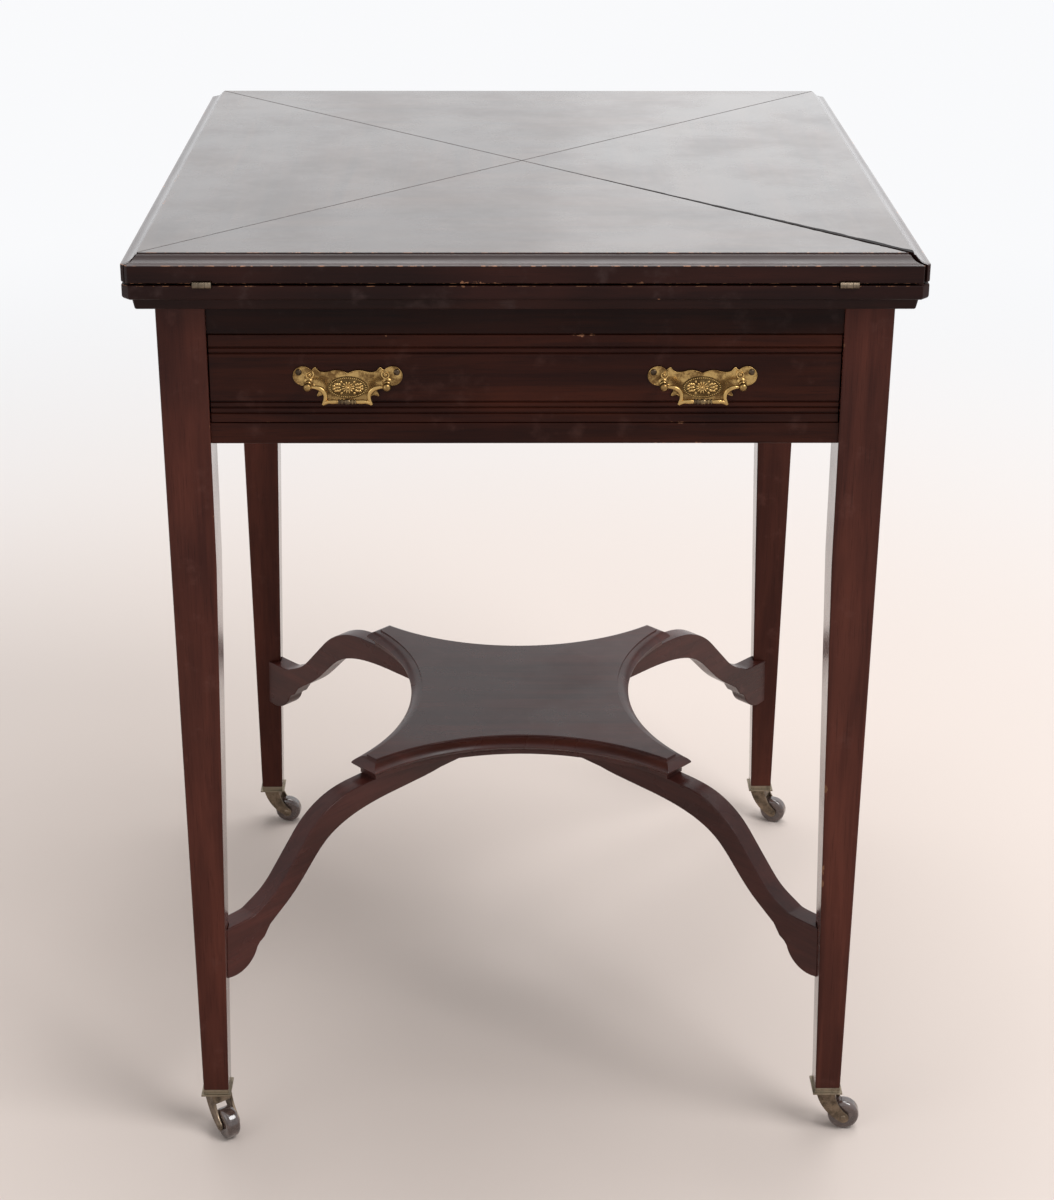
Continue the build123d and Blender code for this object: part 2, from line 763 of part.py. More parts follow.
# Hinges: the bed carries the two outer knuckles and the pin, and the leaf
# carries the middle knuckle. They are made for the front edge and turned round.
with BuildPart() as front_bed_plates:
    for hand in (-1, 1):
        with BuildSketch(edge_plane(0).offset(hand * hinge_x)):
            with Locations(((plate_end - hinge_out) / 2, bed_top - hinge_plate_thickness / 2)):
                Rectangle(plate_end + hinge_out, hinge_plate_thickness)
            with Locations((-hinge_out, hinge_z)):
                Circle(barrel_radius)
        extrude(amount=hinge_length / 2, both=True)
        with BuildSketch(edge_plane(0).offset(hand * hinge_x)):
            with Locations((-hinge_out, hinge_z)):
                Circle(mortise_radius)
        extrude(amount=knuckle / 2 + knuckle_gap, both=True, mode=Mode.SUBTRACT)
        with BuildSketch(edge_plane(0).offset(hand * hinge_x)):
            with Locations((-hinge_out, hinge_z)):
                Circle(pin_bore)
        extrude(amount=hinge_length, both=True, mode=Mode.SUBTRACT)
        for step in (-1, 1):
            with Locations((hand * hinge_x + step * hinge_screw_pitch / 2, screw_y, bed_top)):
                Cylinder(
                    hinge_screw / 2 + screw_play, 2 * hinge_plate_thickness + screw_play,
                    align=(Align.CENTER, Align.CENTER, Align.MAX), mode=Mode.SUBTRACT,
                )
                Cone(
                    hinge_screw / 2 + screw_play, hinge_screw_head / 2 + screw_play, screw_head_depth,
                    align=(Align.CENTER, Align.CENTER, Align.MAX), mode=Mode.SUBTRACT,
                )
with BuildPart() as front_bed_screws:
    for hand in (-1, 1):
        for step in (-1, 1):
            with Locations((hand * hinge_x + step * hinge_screw_pitch / 2, screw_y, bed_top)):
                Cone(
                    hinge_screw / 2, hinge_screw_head / 2, screw_head_depth,
                    align=(Align.CENTER, Align.CENTER, Align.MAX),
                )
                Cylinder(
                    hinge_screw / 2, hinge_screw_length - screw_play,
                    align=(Align.CENTER, Align.CENTER, Align.MAX),
                )
with BuildPart() as front_pins:
    for hand in (-1, 1):
        with BuildSketch(edge_plane(0).offset(hand * hinge_x)):
            with Locations((-hinge_out, hinge_z)):
                Circle(hinge_pin / 2)
        extrude(amount=hinge_length / 2, both=True)
with BuildPart() as bed_hinge_plates:
    for turn in edge_ways.values():
        add(front_bed_plates.part.rotate(Axis.Z, turn))
keep("bed_hinge_plates", bed_hinge_plates.part)
with BuildPart() as bed_hinge_screws:
    for turn in edge_ways.values():
        add(front_bed_screws.part.rotate(Axis.Z, turn))
keep("bed_hinge_screws", bed_hinge_screws.part)
with BuildPart() as hinge_pins:
    for turn in edge_ways.values():
        add(front_pins.part.rotate(Axis.Z, turn))
keep("hinge_pins", hinge_pins.part)

# Leaves: a triangle each, moulded along the outer edge, with the playing
# surface and the hinges on the side that lies on the bed.
slant = leaf_gap / 2 * sqrt(2)
point_reach = half_top - corner_clip / 2
cove_mid_share = 0.57
cove_sag_share = 0.3
cove_rise = board_thickness - edge_flat - edge_riser
leaf_arris_z = leaf_bottom + edge_flat
border_slant = baize_outer_border * sqrt(2)
leaf_baize_reach = half_top - baize_border
with BuildPart() as front_leaf:
    with BuildSketch(Plane.XY.offset(leaf_bottom)):
        with BuildLine():
            Polyline(
                (0, -slant),
                (point_reach - slant / 2, -point_reach - slant / 2),
                (half_top - corner_clip, -half_top),
                (-half_top + corner_clip, -half_top),
                (-point_reach + slant / 2, -point_reach - slant / 2),
                (0, -slant),
            )
        make_face()
    extrude(amount=board_thickness)
    for turn in (-1, 0, 1):
        edge = -half_top if turn == 0 else -clip_distance
        with BuildSketch(edge_plane(45 * turn)):
            with BuildLine():
                Polyline(
                    (edge - cut_margin, leaf_arris_z),
                    (edge, leaf_arris_z),
                    (edge + edge_lip, leaf_arris_z + edge_lip_rise),
                )
                ThreePointArc(
                    (edge + edge_lip, leaf_arris_z + edge_lip_rise),
                    (edge + edge_mould_width * cove_mid_share, leaf_arris_z + cove_rise * cove_sag_share),
                    (edge + edge_mould_width - edge_ledge, leaf_arris_z + cove_rise),
                )
                Polyline(
                    (edge + edge_mould_width - edge_ledge, leaf_arris_z + cove_rise),
                    (edge + edge_mould_width, leaf_arris_z + cove_rise),
                    (edge + edge_mould_width, top_height + cut_margin),
                    (edge - cut_margin, top_height + cut_margin),
                    (edge - cut_margin, leaf_arris_z),
                )
            make_face()
            with BuildLine():
                Polyline(
                    (edge - cut_margin, leaf_bottom - cut_margin),
                    (edge + edge_arris + cut_margin, leaf_bottom - cut_margin),
                    (edge - cut_margin, leaf_bottom + edge_arris + cut_margin),
                    (edge - cut_margin, leaf_bottom - cut_margin),
                )
            make_face()
        extrude(amount=half_top + cut_margin, both=True, mode=Mode.SUBTRACT)
    with BuildSketch(Plane.XY.offset(leaf_bottom)):
        with BuildLine():
            Polyline(
                (0, -border_slant),
                (leaf_baize_reach - border_slant, -leaf_baize_reach),
                (border_slant - leaf_baize_reach, -leaf_baize_reach),
                (0, -border_slant),
            )
        make_face()
    extrude(amount=baize_recess, mode=Mode.SUBTRACT)
    for hand in (-1, 1):
        with BuildSketch(edge_plane(0).offset(hand * hinge_x)):
            with Locations((-hinge_out, hinge_z)):
                Circle(mortise_radius)
        extrude(amount=mortise_span / 2, both=True, mode=Mode.SUBTRACT)
        with BuildSketch(edge_plane(0).offset(hand * hinge_x)):
            with Locations((-half_top + hinge_plate_width / 2, leaf_bottom + hinge_plate_thickness / 2)):
                Rectangle(hinge_plate_width, hinge_plate_thickness)
        extrude(amount=hinge_length / 2, both=True, mode=Mode.SUBTRACT)
        for step in (-1, 1):
            with BuildSketch(Plane(origin=(hand * hinge_x + step * hinge_screw_pitch / 2, screw_y, leaf_bottom))):
                Circle(hinge_screw / 2 + screw_play)
            extrude(amount=hinge_screw_length, mode=Mode.SUBTRACT)

baize_corner = border_slant + baize_play * sqrt(2)
baize_reach = leaf_baize_reach - baize_play
with BuildPart() as front_leaf_baize:
    with BuildSketch(Plane.XY.offset(leaf_bottom + baize_recess - baize_thickness)):
        with BuildLine():
            Polyline(
                (0, -baize_corner),
                (baize_reach - baize_corner, -baize_reach),
                (baize_corner - baize_reach, -baize_reach),
                (0, -baize_corner),
            )
        make_face()
    extrude(amount=baize_thickness)

with BuildPart() as front_leaf_hinges:
    for hand in (-1, 1):
        with BuildSketch(edge_plane(0).offset(hand * hinge_x)):
            with Locations(((plate_end - hinge_out) / 2, leaf_bottom + hinge_plate_thickness / 2)):
                Rectangle(plate_end + hinge_out, hinge_plate_thickness)
            with Locations((-hinge_out, hinge_z)):
                Circle(barrel_radius)
        extrude(amount=hinge_length / 2, both=True)
        for step in (-1, 1):
            with BuildSketch(edge_plane(0).offset(hand * hinge_x + step * knuckle_pitch)):
                with Locations((-hinge_out, hinge_z)):
                    Circle(mortise_radius)
            extrude(amount=knuckle / 2 + knuckle_gap, both=True, mode=Mode.SUBTRACT)
        with BuildSketch(edge_plane(0).offset(hand * hinge_x)):
            with Locations((-hinge_out, hinge_z)):
                Circle(pin_bore)
        extrude(amount=hinge_length, both=True, mode=Mode.SUBTRACT)
        for step in (-1, 1):
            with Locations((hand * hinge_x + step * hinge_screw_pitch / 2, screw_y, leaf_bottom)):
                Cylinder(
                    hinge_screw / 2 + screw_play, 2 * hinge_plate_thickness + screw_play,
                    align=(Align.CENTER, Align.CENTER, Align.MIN), mode=Mode.SUBTRACT,
                )
                Cone(
                    hinge_screw_head / 2 + screw_play, hinge_screw / 2 + screw_play, screw_head_depth,
                    align=(Align.CENTER, Align.CENTER, Align.MIN), mode=Mode.SUBTRACT,
                )
with BuildPart() as front_leaf_screws:
    for hand in (-1, 1):
        for step in (-1, 1):
            with Locations((hand * hinge_x + step * hinge_screw_pitch / 2, screw_y, leaf_bottom)):
                Cone(
                    hinge_screw_head / 2, hinge_screw / 2, screw_head_depth,
                    align=(Align.CENTER, Align.CENTER, Align.MIN),
                )
                Cylinder(
                    hinge_screw / 2, hinge_screw_length - screw_play,
                    align=(Align.CENTER, Align.CENTER, Align.MIN),
                )
# The seam between the front and right leaves has opened towards the corner, so
# the front leaf is cut back there by a long thin wedge.
seam_out = point_reach + cut_margin
with BuildPart() as worn_leaf:
    add(front_leaf.part)
    with BuildSketch(Plane.XY.offset(leaf_bottom)):
        with BuildLine():
            Polyline(
                (0, -slant),
                (seam_out, -slant - seam_out),
                (seam_out - worn_seam_gap / sqrt(2), -slant - seam_out - worn_seam_gap / sqrt(2)),
                (0, -slant),
            )
        make_face()
    extrude(amount=board_thickness, mode=Mode.SUBTRACT)

for way, turn in edge_ways.items():
    one_leaf = worn_leaf if way == "front" else front_leaf
    keep("leaf_" + way, one_leaf.part.rotate(Axis.Z, turn))
    keep("leaf_" + way + "_baize", front_leaf_baize.part.rotate(Axis.Z, turn))
    with BuildPart() as leaf_hinges:
        add(front_leaf_hinges.part.rotate(Axis.Z, turn))
        add(front_leaf_screws.part.rotate(Axis.Z, turn))
    keep("leaf_" + way + "_hinges", leaf_hinges.part)

# Pivot: a plate with a stud under the bed, held to the bearer by a washer and
# a nut, and a peg that stops the top after an eighth of a turn.
pocket_top = opening_top + pivot_pocket_depth
washer_top = pocket_top - pivot_washer_gap
nut_top = washer_top - pivot_washer_thickness
pivot_head_depth = (pivot_screw_head - pivot_screw) / 2
pivot_screw_spread = pivot_plate_side - 2 * pivot_screw_inset
with BuildPart() as pivot_plate:
    with Locations((0, 0, bed_bottom + pivot_plate_thickness / 2)):
        Box(pivot_plate_side, pivot_plate_side, pivot_plate_thickness)
    with BuildSketch(Plane.XY.offset(bed_bottom)):
        Circle(pivot_stud / 2)
    extrude(amount=opening_top + pivot_stud_end - bed_bottom)
    with Locations((0, 0, bed_bottom)):
        with GridLocations(pivot_screw_spread, pivot_screw_spread, 2, 2):
            Cylinder(
                pivot_screw / 2 + screw_play, pivot_plate_thickness,
                align=(Align.CENTER, Align.CENTER, Align.MIN), mode=Mode.SUBTRACT,
            )
            Cone(
                pivot_screw_head / 2 + screw_play, pivot_screw / 2 + screw_play, pivot_head_depth,
                align=(Align.CENTER, Align.CENTER, Align.MIN), mode=Mode.SUBTRACT,
            )
with BuildPart() as pivot_screws:
    with Locations((0, 0, bed_bottom)):
        with GridLocations(pivot_screw_spread, pivot_screw_spread, 2, 2):
            Cone(
                pivot_screw_head / 2, pivot_screw / 2, pivot_head_depth,
                align=(Align.CENTER, Align.CENTER, Align.MIN),
            )
            Cylinder(
                pivot_screw / 2, pivot_screw_length - screw_play,
                align=(Align.CENTER, Align.CENTER, Align.MIN),
            )
with BuildPart() as pivot_set:
    add(pivot_plate.part)
    add(pivot_screws.part)
keep("pivot_plate", pivot_set.part)

with BuildPart() as washer:
    with BuildSketch(Plane.XY.offset(washer_top)):
        Circle(pivot_washer_side / 2)
        Circle(pivot_stud / 2 + pivot_play, mode=Mode.SUBTRACT)
    extrude(amount=-pivot_washer_thickness)
keep("pivot_washer", washer.part)

with BuildPart() as nut:
    with BuildSketch(Plane.XY.offset(nut_top)):
        RegularPolygon(pivot_nut_across / 2, 6, major_radius=False)
        Circle(pivot_stud / 2 + pivot_play, mode=Mode.SUBTRACT)
    extrude(amount=-pivot_nut_height)
keep("pivot_nut", nut.part)

with BuildPart() as peg:
    with BuildSketch(Plane.XY.offset(bed_bottom - peg_length)):
        with Locations((peg_radius, 0)):
            Circle(peg_width / 2)
    extrude(amount=peg_length + peg_seat - screw_play)
keep("stop_peg", peg.part)

# Drawer: a moulded front lapped over two sides, a back and a thin bottom in
# grooves.
front_low = opening_bottom + drawer_gap
front_high = opening_top - drawer_gap
front_back = -front_face + drawer_front_thickness
front_half = leg_inner - drawer_side_gap
side_low = opening_bottom + drawer_run_gap
side_high = front_high - drawer_gap
side_front = front_back - drawer_lap
side_end = -front_face + drawer_length
bottom_z = side_low + drawer_bottom_lift
bottom_high = bottom_z + drawer_bottom_thickness
inner_half = front_half - drawer_side_thickness
pull_z = (opening_top + opening_bottom) / 2 - pull_drop
post_z = pull_z + pull_post_lift
post_bore = pull_shank / 2 + screw_play
pin_bore_radius = pull_pin_shank / 2 + screw_play
pull_places = (-pull_spacing / 2, pull_spacing / 2)
lobe_x = pull_half_width - pull_lobe
lobe_lift_share = 1.23
lobe_z = pull_z + pull_lobe * lobe_lift_share
groove_levels = [
    front_high - groove_top_inset,
    front_high - groove_top_inset - groove_pitch,
    front_low + groove_bottom_inset,
    front_low + groove_bottom_inset + groove_pitch,
    front_low + groove_bottom_inset + 2 * groove_pitch,
]
pin_out_share = 0.45
pin_up_share = 0.4
curl_in_share = 0.6
curl_up_share = 0.17
pin_x = lobe_x + pull_lobe * pin_out_share
pin_z = lobe_z + pull_lobe * pin_up_share
with BuildPart() as drawer_front:
    with Locations((0, (front_back - front_face) / 2, (front_low + front_high) / 2)):
        Box(2 * front_half, drawer_front_thickness, front_high - front_low)
    chamfer(drawer_front.edges().filter_by(Axis.X).group_by(Axis.Y)[0], length=front_arris)
    for level in groove_levels:
        with BuildSketch(Plane.YZ):
            with Locations((-front_face, level)):
                Ellipse(groove_depth, groove_width / 2)
        extrude(amount=front_half, both=True, mode=Mode.SUBTRACT)
    for hand in (-1, 1):
        with Locations((hand * (inner_half + drawer_side_thickness / 2), (side_front + front_back) / 2,
                        (side_low + side_high) / 2)):
            Box(drawer_side_thickness, drawer_lap, side_high - side_low, mode=Mode.SUBTRACT)
    with Locations((0, front_back - drawer_groove / 2, (bottom_z + bottom_high) / 2)):
        Box(2 * inner_half, drawer_groove, drawer_bottom_thickness, mode=Mode.SUBTRACT)
    for place in pull_places:
        for hand in (-1, 1):
            with BuildSketch(Plane.XZ.offset(front_face)):
                with Locations((place + hand * pull_post_spacing / 2, post_z)):
                    Circle(post_bore)
            extrude(amount=-drawer_front_thickness, mode=Mode.SUBTRACT)
            with BuildSketch(Plane.XZ.offset(front_face)):
                with Locations((place + hand * pin_x, pin_z)):
                    Circle(pin_bore_radius)
            extrude(amount=-pull_pin_length, mode=Mode.SUBTRACT)
keep("drawer_front", drawer_front.part)

for side, hand in (("left", -1), ("right", 1)):
    with BuildPart() as drawer_side:
        with Locations((hand * (inner_half + drawer_side_thickness / 2), (side_front + side_end) / 2,
                        (side_low + side_high) / 2)):
            Box(drawer_side_thickness, side_end - side_front, side_high - side_low)
        with Locations((hand * (inner_half + drawer_groove / 2), (front_back + side_end) / 2,
                        (bottom_z + bottom_high) / 2)):
            Box(drawer_groove, side_end - front_back, drawer_bottom_thickness, mode=Mode.SUBTRACT)
    keep("drawer_side_" + side, drawer_side.part)

back_high = side_high - drawer_back_drop
with BuildPart() as drawer_back:
    with Locations((0, side_end - drawer_back_thickness / 2, (bottom_high + back_high) / 2)):
        Box(2 * inner_half, drawer_back_thickness, back_high - bottom_high)
keep("drawer_back", drawer_back.part)

with BuildPart() as drawer_bottom:
    with Locations((0, (front_back + side_end) / 2, (bottom_z + bottom_high) / 2)):
        Box(2 * (inner_half + drawer_groove), side_end - front_back, drawer_bottom_thickness)
    with Locations((0, front_back - drawer_groove / 2, (bottom_z + bottom_high) / 2)):
        Box(2 * inner_half, drawer_groove, drawer_bottom_thickness)
keep("drawer_bottom", drawer_bottom.part)

# Drawer pulls: a shaped plate held by pins, two posts with ball ends, and a
# bail that swings between the balls.
plate_top_shares = [(0.0, 0.41), (0.104, 0.467), (0.233, 0.496), (0.461, 0.463), (0.617, 0.593)]
plate_side_shares = [(0.655, 0.467), (0.75, 0.3), (0.75, 0.1), (0.59, 0.057)]
plate_low_shares = [(0.59, 0.057), (0.453, -0.13), (0.347, -0.268), (0.282, -0.402)]
plate_base_share = -0.44
plate_face = front_face + pull_plate_thickness
curl_x = lobe_x - pull_lobe * curl_in_share
curl_z = lobe_z + pull_lobe * curl_up_share


def plate_points(place, hand, shares):
    return [(place + hand * pull_half_width * u, pull_z + pull_height * v) for u, v in shares]


with BuildPart() as pull_plates:
    for place in pull_places:
        with BuildSketch(Plane.XZ.offset(front_face)):
            with BuildLine():
                for hand in (-1, 1):
                    Spline(plate_points(place, hand, plate_top_shares))
                    Polyline(plate_points(place, hand, [plate_top_shares[-1]] + plate_side_shares))
                    Spline(plate_points(place, hand, plate_low_shares))
                ThreePointArc(
                    plate_points(place, -1, plate_low_shares)[-1],
                    (place, pull_z + pull_height * plate_base_share),
                    plate_points(place, 1, plate_low_shares)[-1],
                )
            make_face()
            for hand in (-1, 1):
                with Locations((place + hand * lobe_x, lobe_z)):
                    Circle(pull_lobe)
                with Locations((place + hand * pull_post_spacing / 2, post_z)):
                    Circle(pull_post_base / 2)
        extrude(amount=pull_plate_thickness)
        with BuildSketch(Plane.XZ.offset(plate_face)):
            with Locations((place, pull_z)):
                Ellipse(pull_oval_length / 2, pull_oval_height / 2)
                Ellipse(
                    pull_oval_length / 2 - pull_oval_rise, pull_oval_height / 2 - pull_oval_rise,
                    mode=Mode.SUBTRACT,
                )
        extrude(amount=pull_oval_rise)
        with BuildSketch(Plane.XZ.offset(plate_face)):
            with Locations((place, pull_z)):
                Circle(pull_boss / 2)
        extrude(amount=pull_boss_rise, taper=pull_boss_taper)
        for hand in (-1, 1):
            with BuildSketch(Plane.XZ.offset(plate_face)):
                with Locations((place + hand * curl_x, curl_z)):
                    Circle(pull_curl / 2)
                    Circle(pull_curl / 2 - pull_curl_rise, mode=Mode.SUBTRACT)
            extrude(amount=pull_curl_rise)
            with BuildSketch(Plane.XZ.offset(plate_face)):
                with Locations((place + hand * pull_post_spacing / 2, post_z)):
                    Circle(post_bore)
                with Locations((place + hand * pin_x, pin_z)):
                    Circle(pin_bore_radius)
            extrude(amount=-pull_plate_thickness, mode=Mode.SUBTRACT)
keep("pull_plates", pull_plates.part)

with BuildPart() as pull_pins:
    for place in pull_places:
        for hand in (-1, 1):
            pin_plane = Plane(
                origin=(place + hand * pin_x, -plate_face, pin_z), x_dir=(1, 0, 0), z_dir=(0, -1, 0)
            )
            with BuildSketch(pin_plane):
                Circle(pull_pin_shank / 2)
            extrude(amount=screw_play - pull_plate_thickness - pull_pin_length)
            with BuildSketch(pin_plane):
                Circle(pull_pin_head / 2)
            extrude(amount=pull_pin_rise, taper=pull_pin_taper)
keep("pull_pins", pull_pins.part)

bail_y = -plate_face - pull_post_reach
ball_radius = pull_ball / 2
pivot_bore = pull_pivot / 2 + pull_pivot_play
ball_inner = pull_post_spacing / 2 - ball_radius
with BuildPart() as pull_posts:
    for place in pull_places:
        for hand in (-1, 1):
            post_plane = Plane(
                origin=(place + hand * pull_post_spacing / 2, -plate_face, post_z),
                x_dir=(1, 0, 0),
                z_dir=(0, -1, 0),
            )
            with BuildSketch(post_plane):
                Circle(pull_shank / 2)
            extrude(amount=-pull_plate_thickness - drawer_front_thickness - pull_post_base_rise)
            with BuildSketch(post_plane):
                Circle(pull_post_base / 2)
            extrude(amount=pull_post_base_rise, taper=pull_post_base_taper)
            with BuildSketch(post_plane):
                Circle(pull_post / 2)
            extrude(amount=pull_post_reach)
            with Locations((place + hand * pull_post_spacing / 2, bail_y, post_z)):
                Sphere(ball_radius, rotation=(0, 0, -90))
            with BuildSketch(Plane(
                origin=(place + hand * pull_post_spacing / 2, front_back, post_z),
                x_dir=(1, 0, 0),
                z_dir=(0, 1, 0),
            )):
                Circle(pull_post_base / 2)
            extrude(amount=pull_post_base_rise)
            with BuildSketch(Plane(
                origin=(place + hand * (ball_inner - cut_margin), bail_y, post_z),
                x_dir=(0, 1, 0),
                z_dir=(hand, 0, 0),
            )):
                Circle(pivot_bore)
            extrude(amount=cut_margin + pull_pivot_depth + bail_gap, mode=Mode.SUBTRACT)
keep("pull_posts", pull_posts.part)

# Each bail is round wire: out from the ball, down an arm that bows inwards to
# a pointed corner, and back up to a straight grip with turned rings.
wire_radius = bail_wire / 2
arm_start = ball_inner - bail_gap
arm_bow_share = 0.54
arm_corner_share = 0.61
arm_turn_share = 0.68
turn_x = pull_post_spacing / 2 * arm_turn_share
bow_x = pull_post_spacing / 2 * arm_bow_share
corner_x = pull_post_spacing / 2 * arm_corner_share
corner_z = wire_radius - bail_corner_drop
bow_in_share = 0.29
bow_fall_share = 0.15
bow_mid_share = 0.5
flare_out_share = 0.12
flare_fall_share = 0.95
bail_strokes = [
    [(arm_start, 0), (turn_x, 0)],
    [
        (turn_x, 0),
        (bow_x + (turn_x - bow_x) * bow_in_share, -bail_drop * bow_fall_share),
        (bow_x, -bail_drop * bow_mid_share),
    ],
    [
        (bow_x, -bail_drop * bow_mid_share),
        (bow_x + (corner_x - bow_x) * flare_out_share, -bail_drop * flare_fall_share),
        (corner_x, corner_z),
    ],
    [(corner_x, corner_z), (bow_x - wire_radius, -bail_drop)],
]
ring_steps = (-2, -1, 0, 1, 2)
for side, place in (("left", pull_places[0]), ("right", pull_places[1])):
    bail_plane = Plane(origin=(place, bail_y, post_z), x_dir=(1, 0, 0), z_dir=(0, -1, 0))
    with BuildPart() as bail:
        for hand in (-1, 1):
            for points in bail_strokes:
                handed = [(hand * x, z) for x, z in points]
                with BuildLine(bail_plane) as stroke:
                    if len(handed) == 2:
                        Line(handed[0], handed[1])
                    else:
                        ThreePointArc(handed[0], handed[1], handed[2])
                with BuildSketch(Plane(origin=stroke.line @ 0, z_dir=stroke.line % 0)):
                    Circle(wire_radius)
                sweep()
                with Locations(stroke.line @ 1):
                    Sphere(wire_radius)
            with BuildSketch(Plane(
                origin=(place + hand * arm_start, bail_y, post_z), x_dir=(0, 1, 0), z_dir=(hand, 0, 0)
            )):
                Circle(pull_pivot / 2)
            extrude(amount=bail_gap + pull_pivot_depth)
        grip_plane = Plane(origin=(place, bail_y, post_z - bail_drop), x_dir=(0, 1, 0), z_dir=(1, 0, 0))
        with BuildSketch(grip_plane):
            Circle(bail_grip / 2)
        extrude(amount=bow_x - wire_radius, both=True)
        for step in ring_steps:
            with BuildSketch(grip_plane.offset(step * bail_ring_pitch)):
                Circle(bail_ring / 2)
            extrude(amount=bail_ring_width / 2, both=True)
    keep("bail_" + side, bail.part)

for name, shape in pieces.items():
    export_step(shape, "parts/" + name + ".step")
print(len(pieces), "pieces")
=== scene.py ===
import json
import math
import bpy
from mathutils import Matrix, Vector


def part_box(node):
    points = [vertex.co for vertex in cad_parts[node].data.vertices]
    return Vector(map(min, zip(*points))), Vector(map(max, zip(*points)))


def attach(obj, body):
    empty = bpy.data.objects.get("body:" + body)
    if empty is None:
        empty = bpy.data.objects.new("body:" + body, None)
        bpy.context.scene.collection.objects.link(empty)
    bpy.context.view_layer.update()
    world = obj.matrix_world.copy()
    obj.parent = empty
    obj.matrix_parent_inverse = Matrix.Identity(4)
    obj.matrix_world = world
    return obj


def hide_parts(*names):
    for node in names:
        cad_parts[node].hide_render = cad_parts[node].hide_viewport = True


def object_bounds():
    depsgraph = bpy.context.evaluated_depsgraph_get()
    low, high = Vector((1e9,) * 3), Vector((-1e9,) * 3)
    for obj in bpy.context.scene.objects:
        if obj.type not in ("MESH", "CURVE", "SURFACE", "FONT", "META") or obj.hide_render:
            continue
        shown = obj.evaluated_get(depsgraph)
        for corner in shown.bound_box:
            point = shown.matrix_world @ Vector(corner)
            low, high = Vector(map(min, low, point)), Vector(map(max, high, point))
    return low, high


bl_info = {
    "name": "Handkerchief games table",
    "version": (1, 0, 0),
    "blender": (4, 5, 0),
    "location": "3D View > Sidebar > Games table",
    "description": "Dresses the packed games table: wood, brass, casters, cloths and a studio stage",
    "category": "Object",
}

import bpy
from bpy.props import FloatProperty, FloatVectorProperty, IntProperty, PointerProperty
from mathutils import Matrix, Vector

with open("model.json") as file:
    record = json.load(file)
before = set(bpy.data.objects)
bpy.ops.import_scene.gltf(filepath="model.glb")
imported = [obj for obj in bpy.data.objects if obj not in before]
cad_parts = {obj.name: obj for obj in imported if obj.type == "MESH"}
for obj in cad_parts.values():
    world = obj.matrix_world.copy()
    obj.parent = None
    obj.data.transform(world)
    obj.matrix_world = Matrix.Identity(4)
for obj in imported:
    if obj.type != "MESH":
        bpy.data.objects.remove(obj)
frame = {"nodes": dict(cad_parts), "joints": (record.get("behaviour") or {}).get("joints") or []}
CAD_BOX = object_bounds()

MM = 0.001
HANDS = (-1, 1)
CLOTH_STEPS = 24
CORNERS = {"front_left": (-1, -1), "front_right": (1, -1), "back_left": (-1, 1), "back_right": (1, 1)}
WAYS = {"front": 0, "right": 90, "back": 180, "left": 270}
PULLS = {"left": "bail_left", "right": "bail_right"}
INNER_WOOD = {
    "x": ("swivel_bearer", "drawer_back", "stop_peg", "drawer_stops"),
    "y": (
        "drawer_runners", "drawer_guides", "drawer_kickers", "drawer_side_left", "drawer_side_right",
        "drawer_bottom",
    ),
}


def node_centre(name):
    low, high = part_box(name)
    return (low + high) / 2


# Sizes of the boards' edges, in metres
LEAF_EDGE = 0.0128
BED_EDGE = 0.0106
EDGE_MOULD = 0.0110
CORNER_CLIP = 0.0055

# How far a face's direction leans one way for the face to count as turned that way
SLOPES_UP = 0.1
FACES_UP = 0.7
FACES_IN = 0.9

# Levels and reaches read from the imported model
TABLE_TOP = CAD_BOX[1].z
LEAF_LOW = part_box("leaf_front")[0].z
LEAF_ARRIS = LEAF_LOW + LEAF_EDGE
BED_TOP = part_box("bed_board")[1].z
HALF_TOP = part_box("bed_board")[1].x
HALF_CLIPPED = HALF_TOP * math.sqrt(2) - CORNER_CLIP / math.sqrt(2)
FRAME_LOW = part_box("rail_left")[0].z
FRONT_FACE = -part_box("drawer_front")[0].y
DRAWER_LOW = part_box("drawer_front")[0].z
DRAWER_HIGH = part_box("drawer_front")[1].z
DRAWER_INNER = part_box("drawer_front")[1].y

# The legs taper on all sides from the knee down, and their middles drift outwards.
LEG_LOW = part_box("leg_front_left")[0].z
KNEE = 0.5
LEG_HALF = 0.0175
LEG_MIDDLE = 0.2425
FOOT_HALF = 0.0100
FOOT_MIDDLE = 0.2455


def part_axis(joint_name):
    for joint in frame["joints"]:
        if joint["name"] == joint_name:
            return Vector(joint["pos_m"]), Vector(joint["axis"])
    raise RuntimeError("no joint named " + joint_name)


def colour(name, text, value):
    return FloatVectorProperty(
        name=name, description=text, subtype="COLOR", size=3, min=0.0, max=1.0, default=value
    )


def length(name, text, value):
    return FloatProperty(name=name, description=text, default=value, min=0.0, unit="LENGTH", precision=5)


def count(name, text, value, low, high):
    return IntProperty(name=name, description=text, default=value, min=low, max=high)


def power(name, text, value):
    return FloatProperty(name=name, description=text, default=value, min=0.0, unit="POWER")


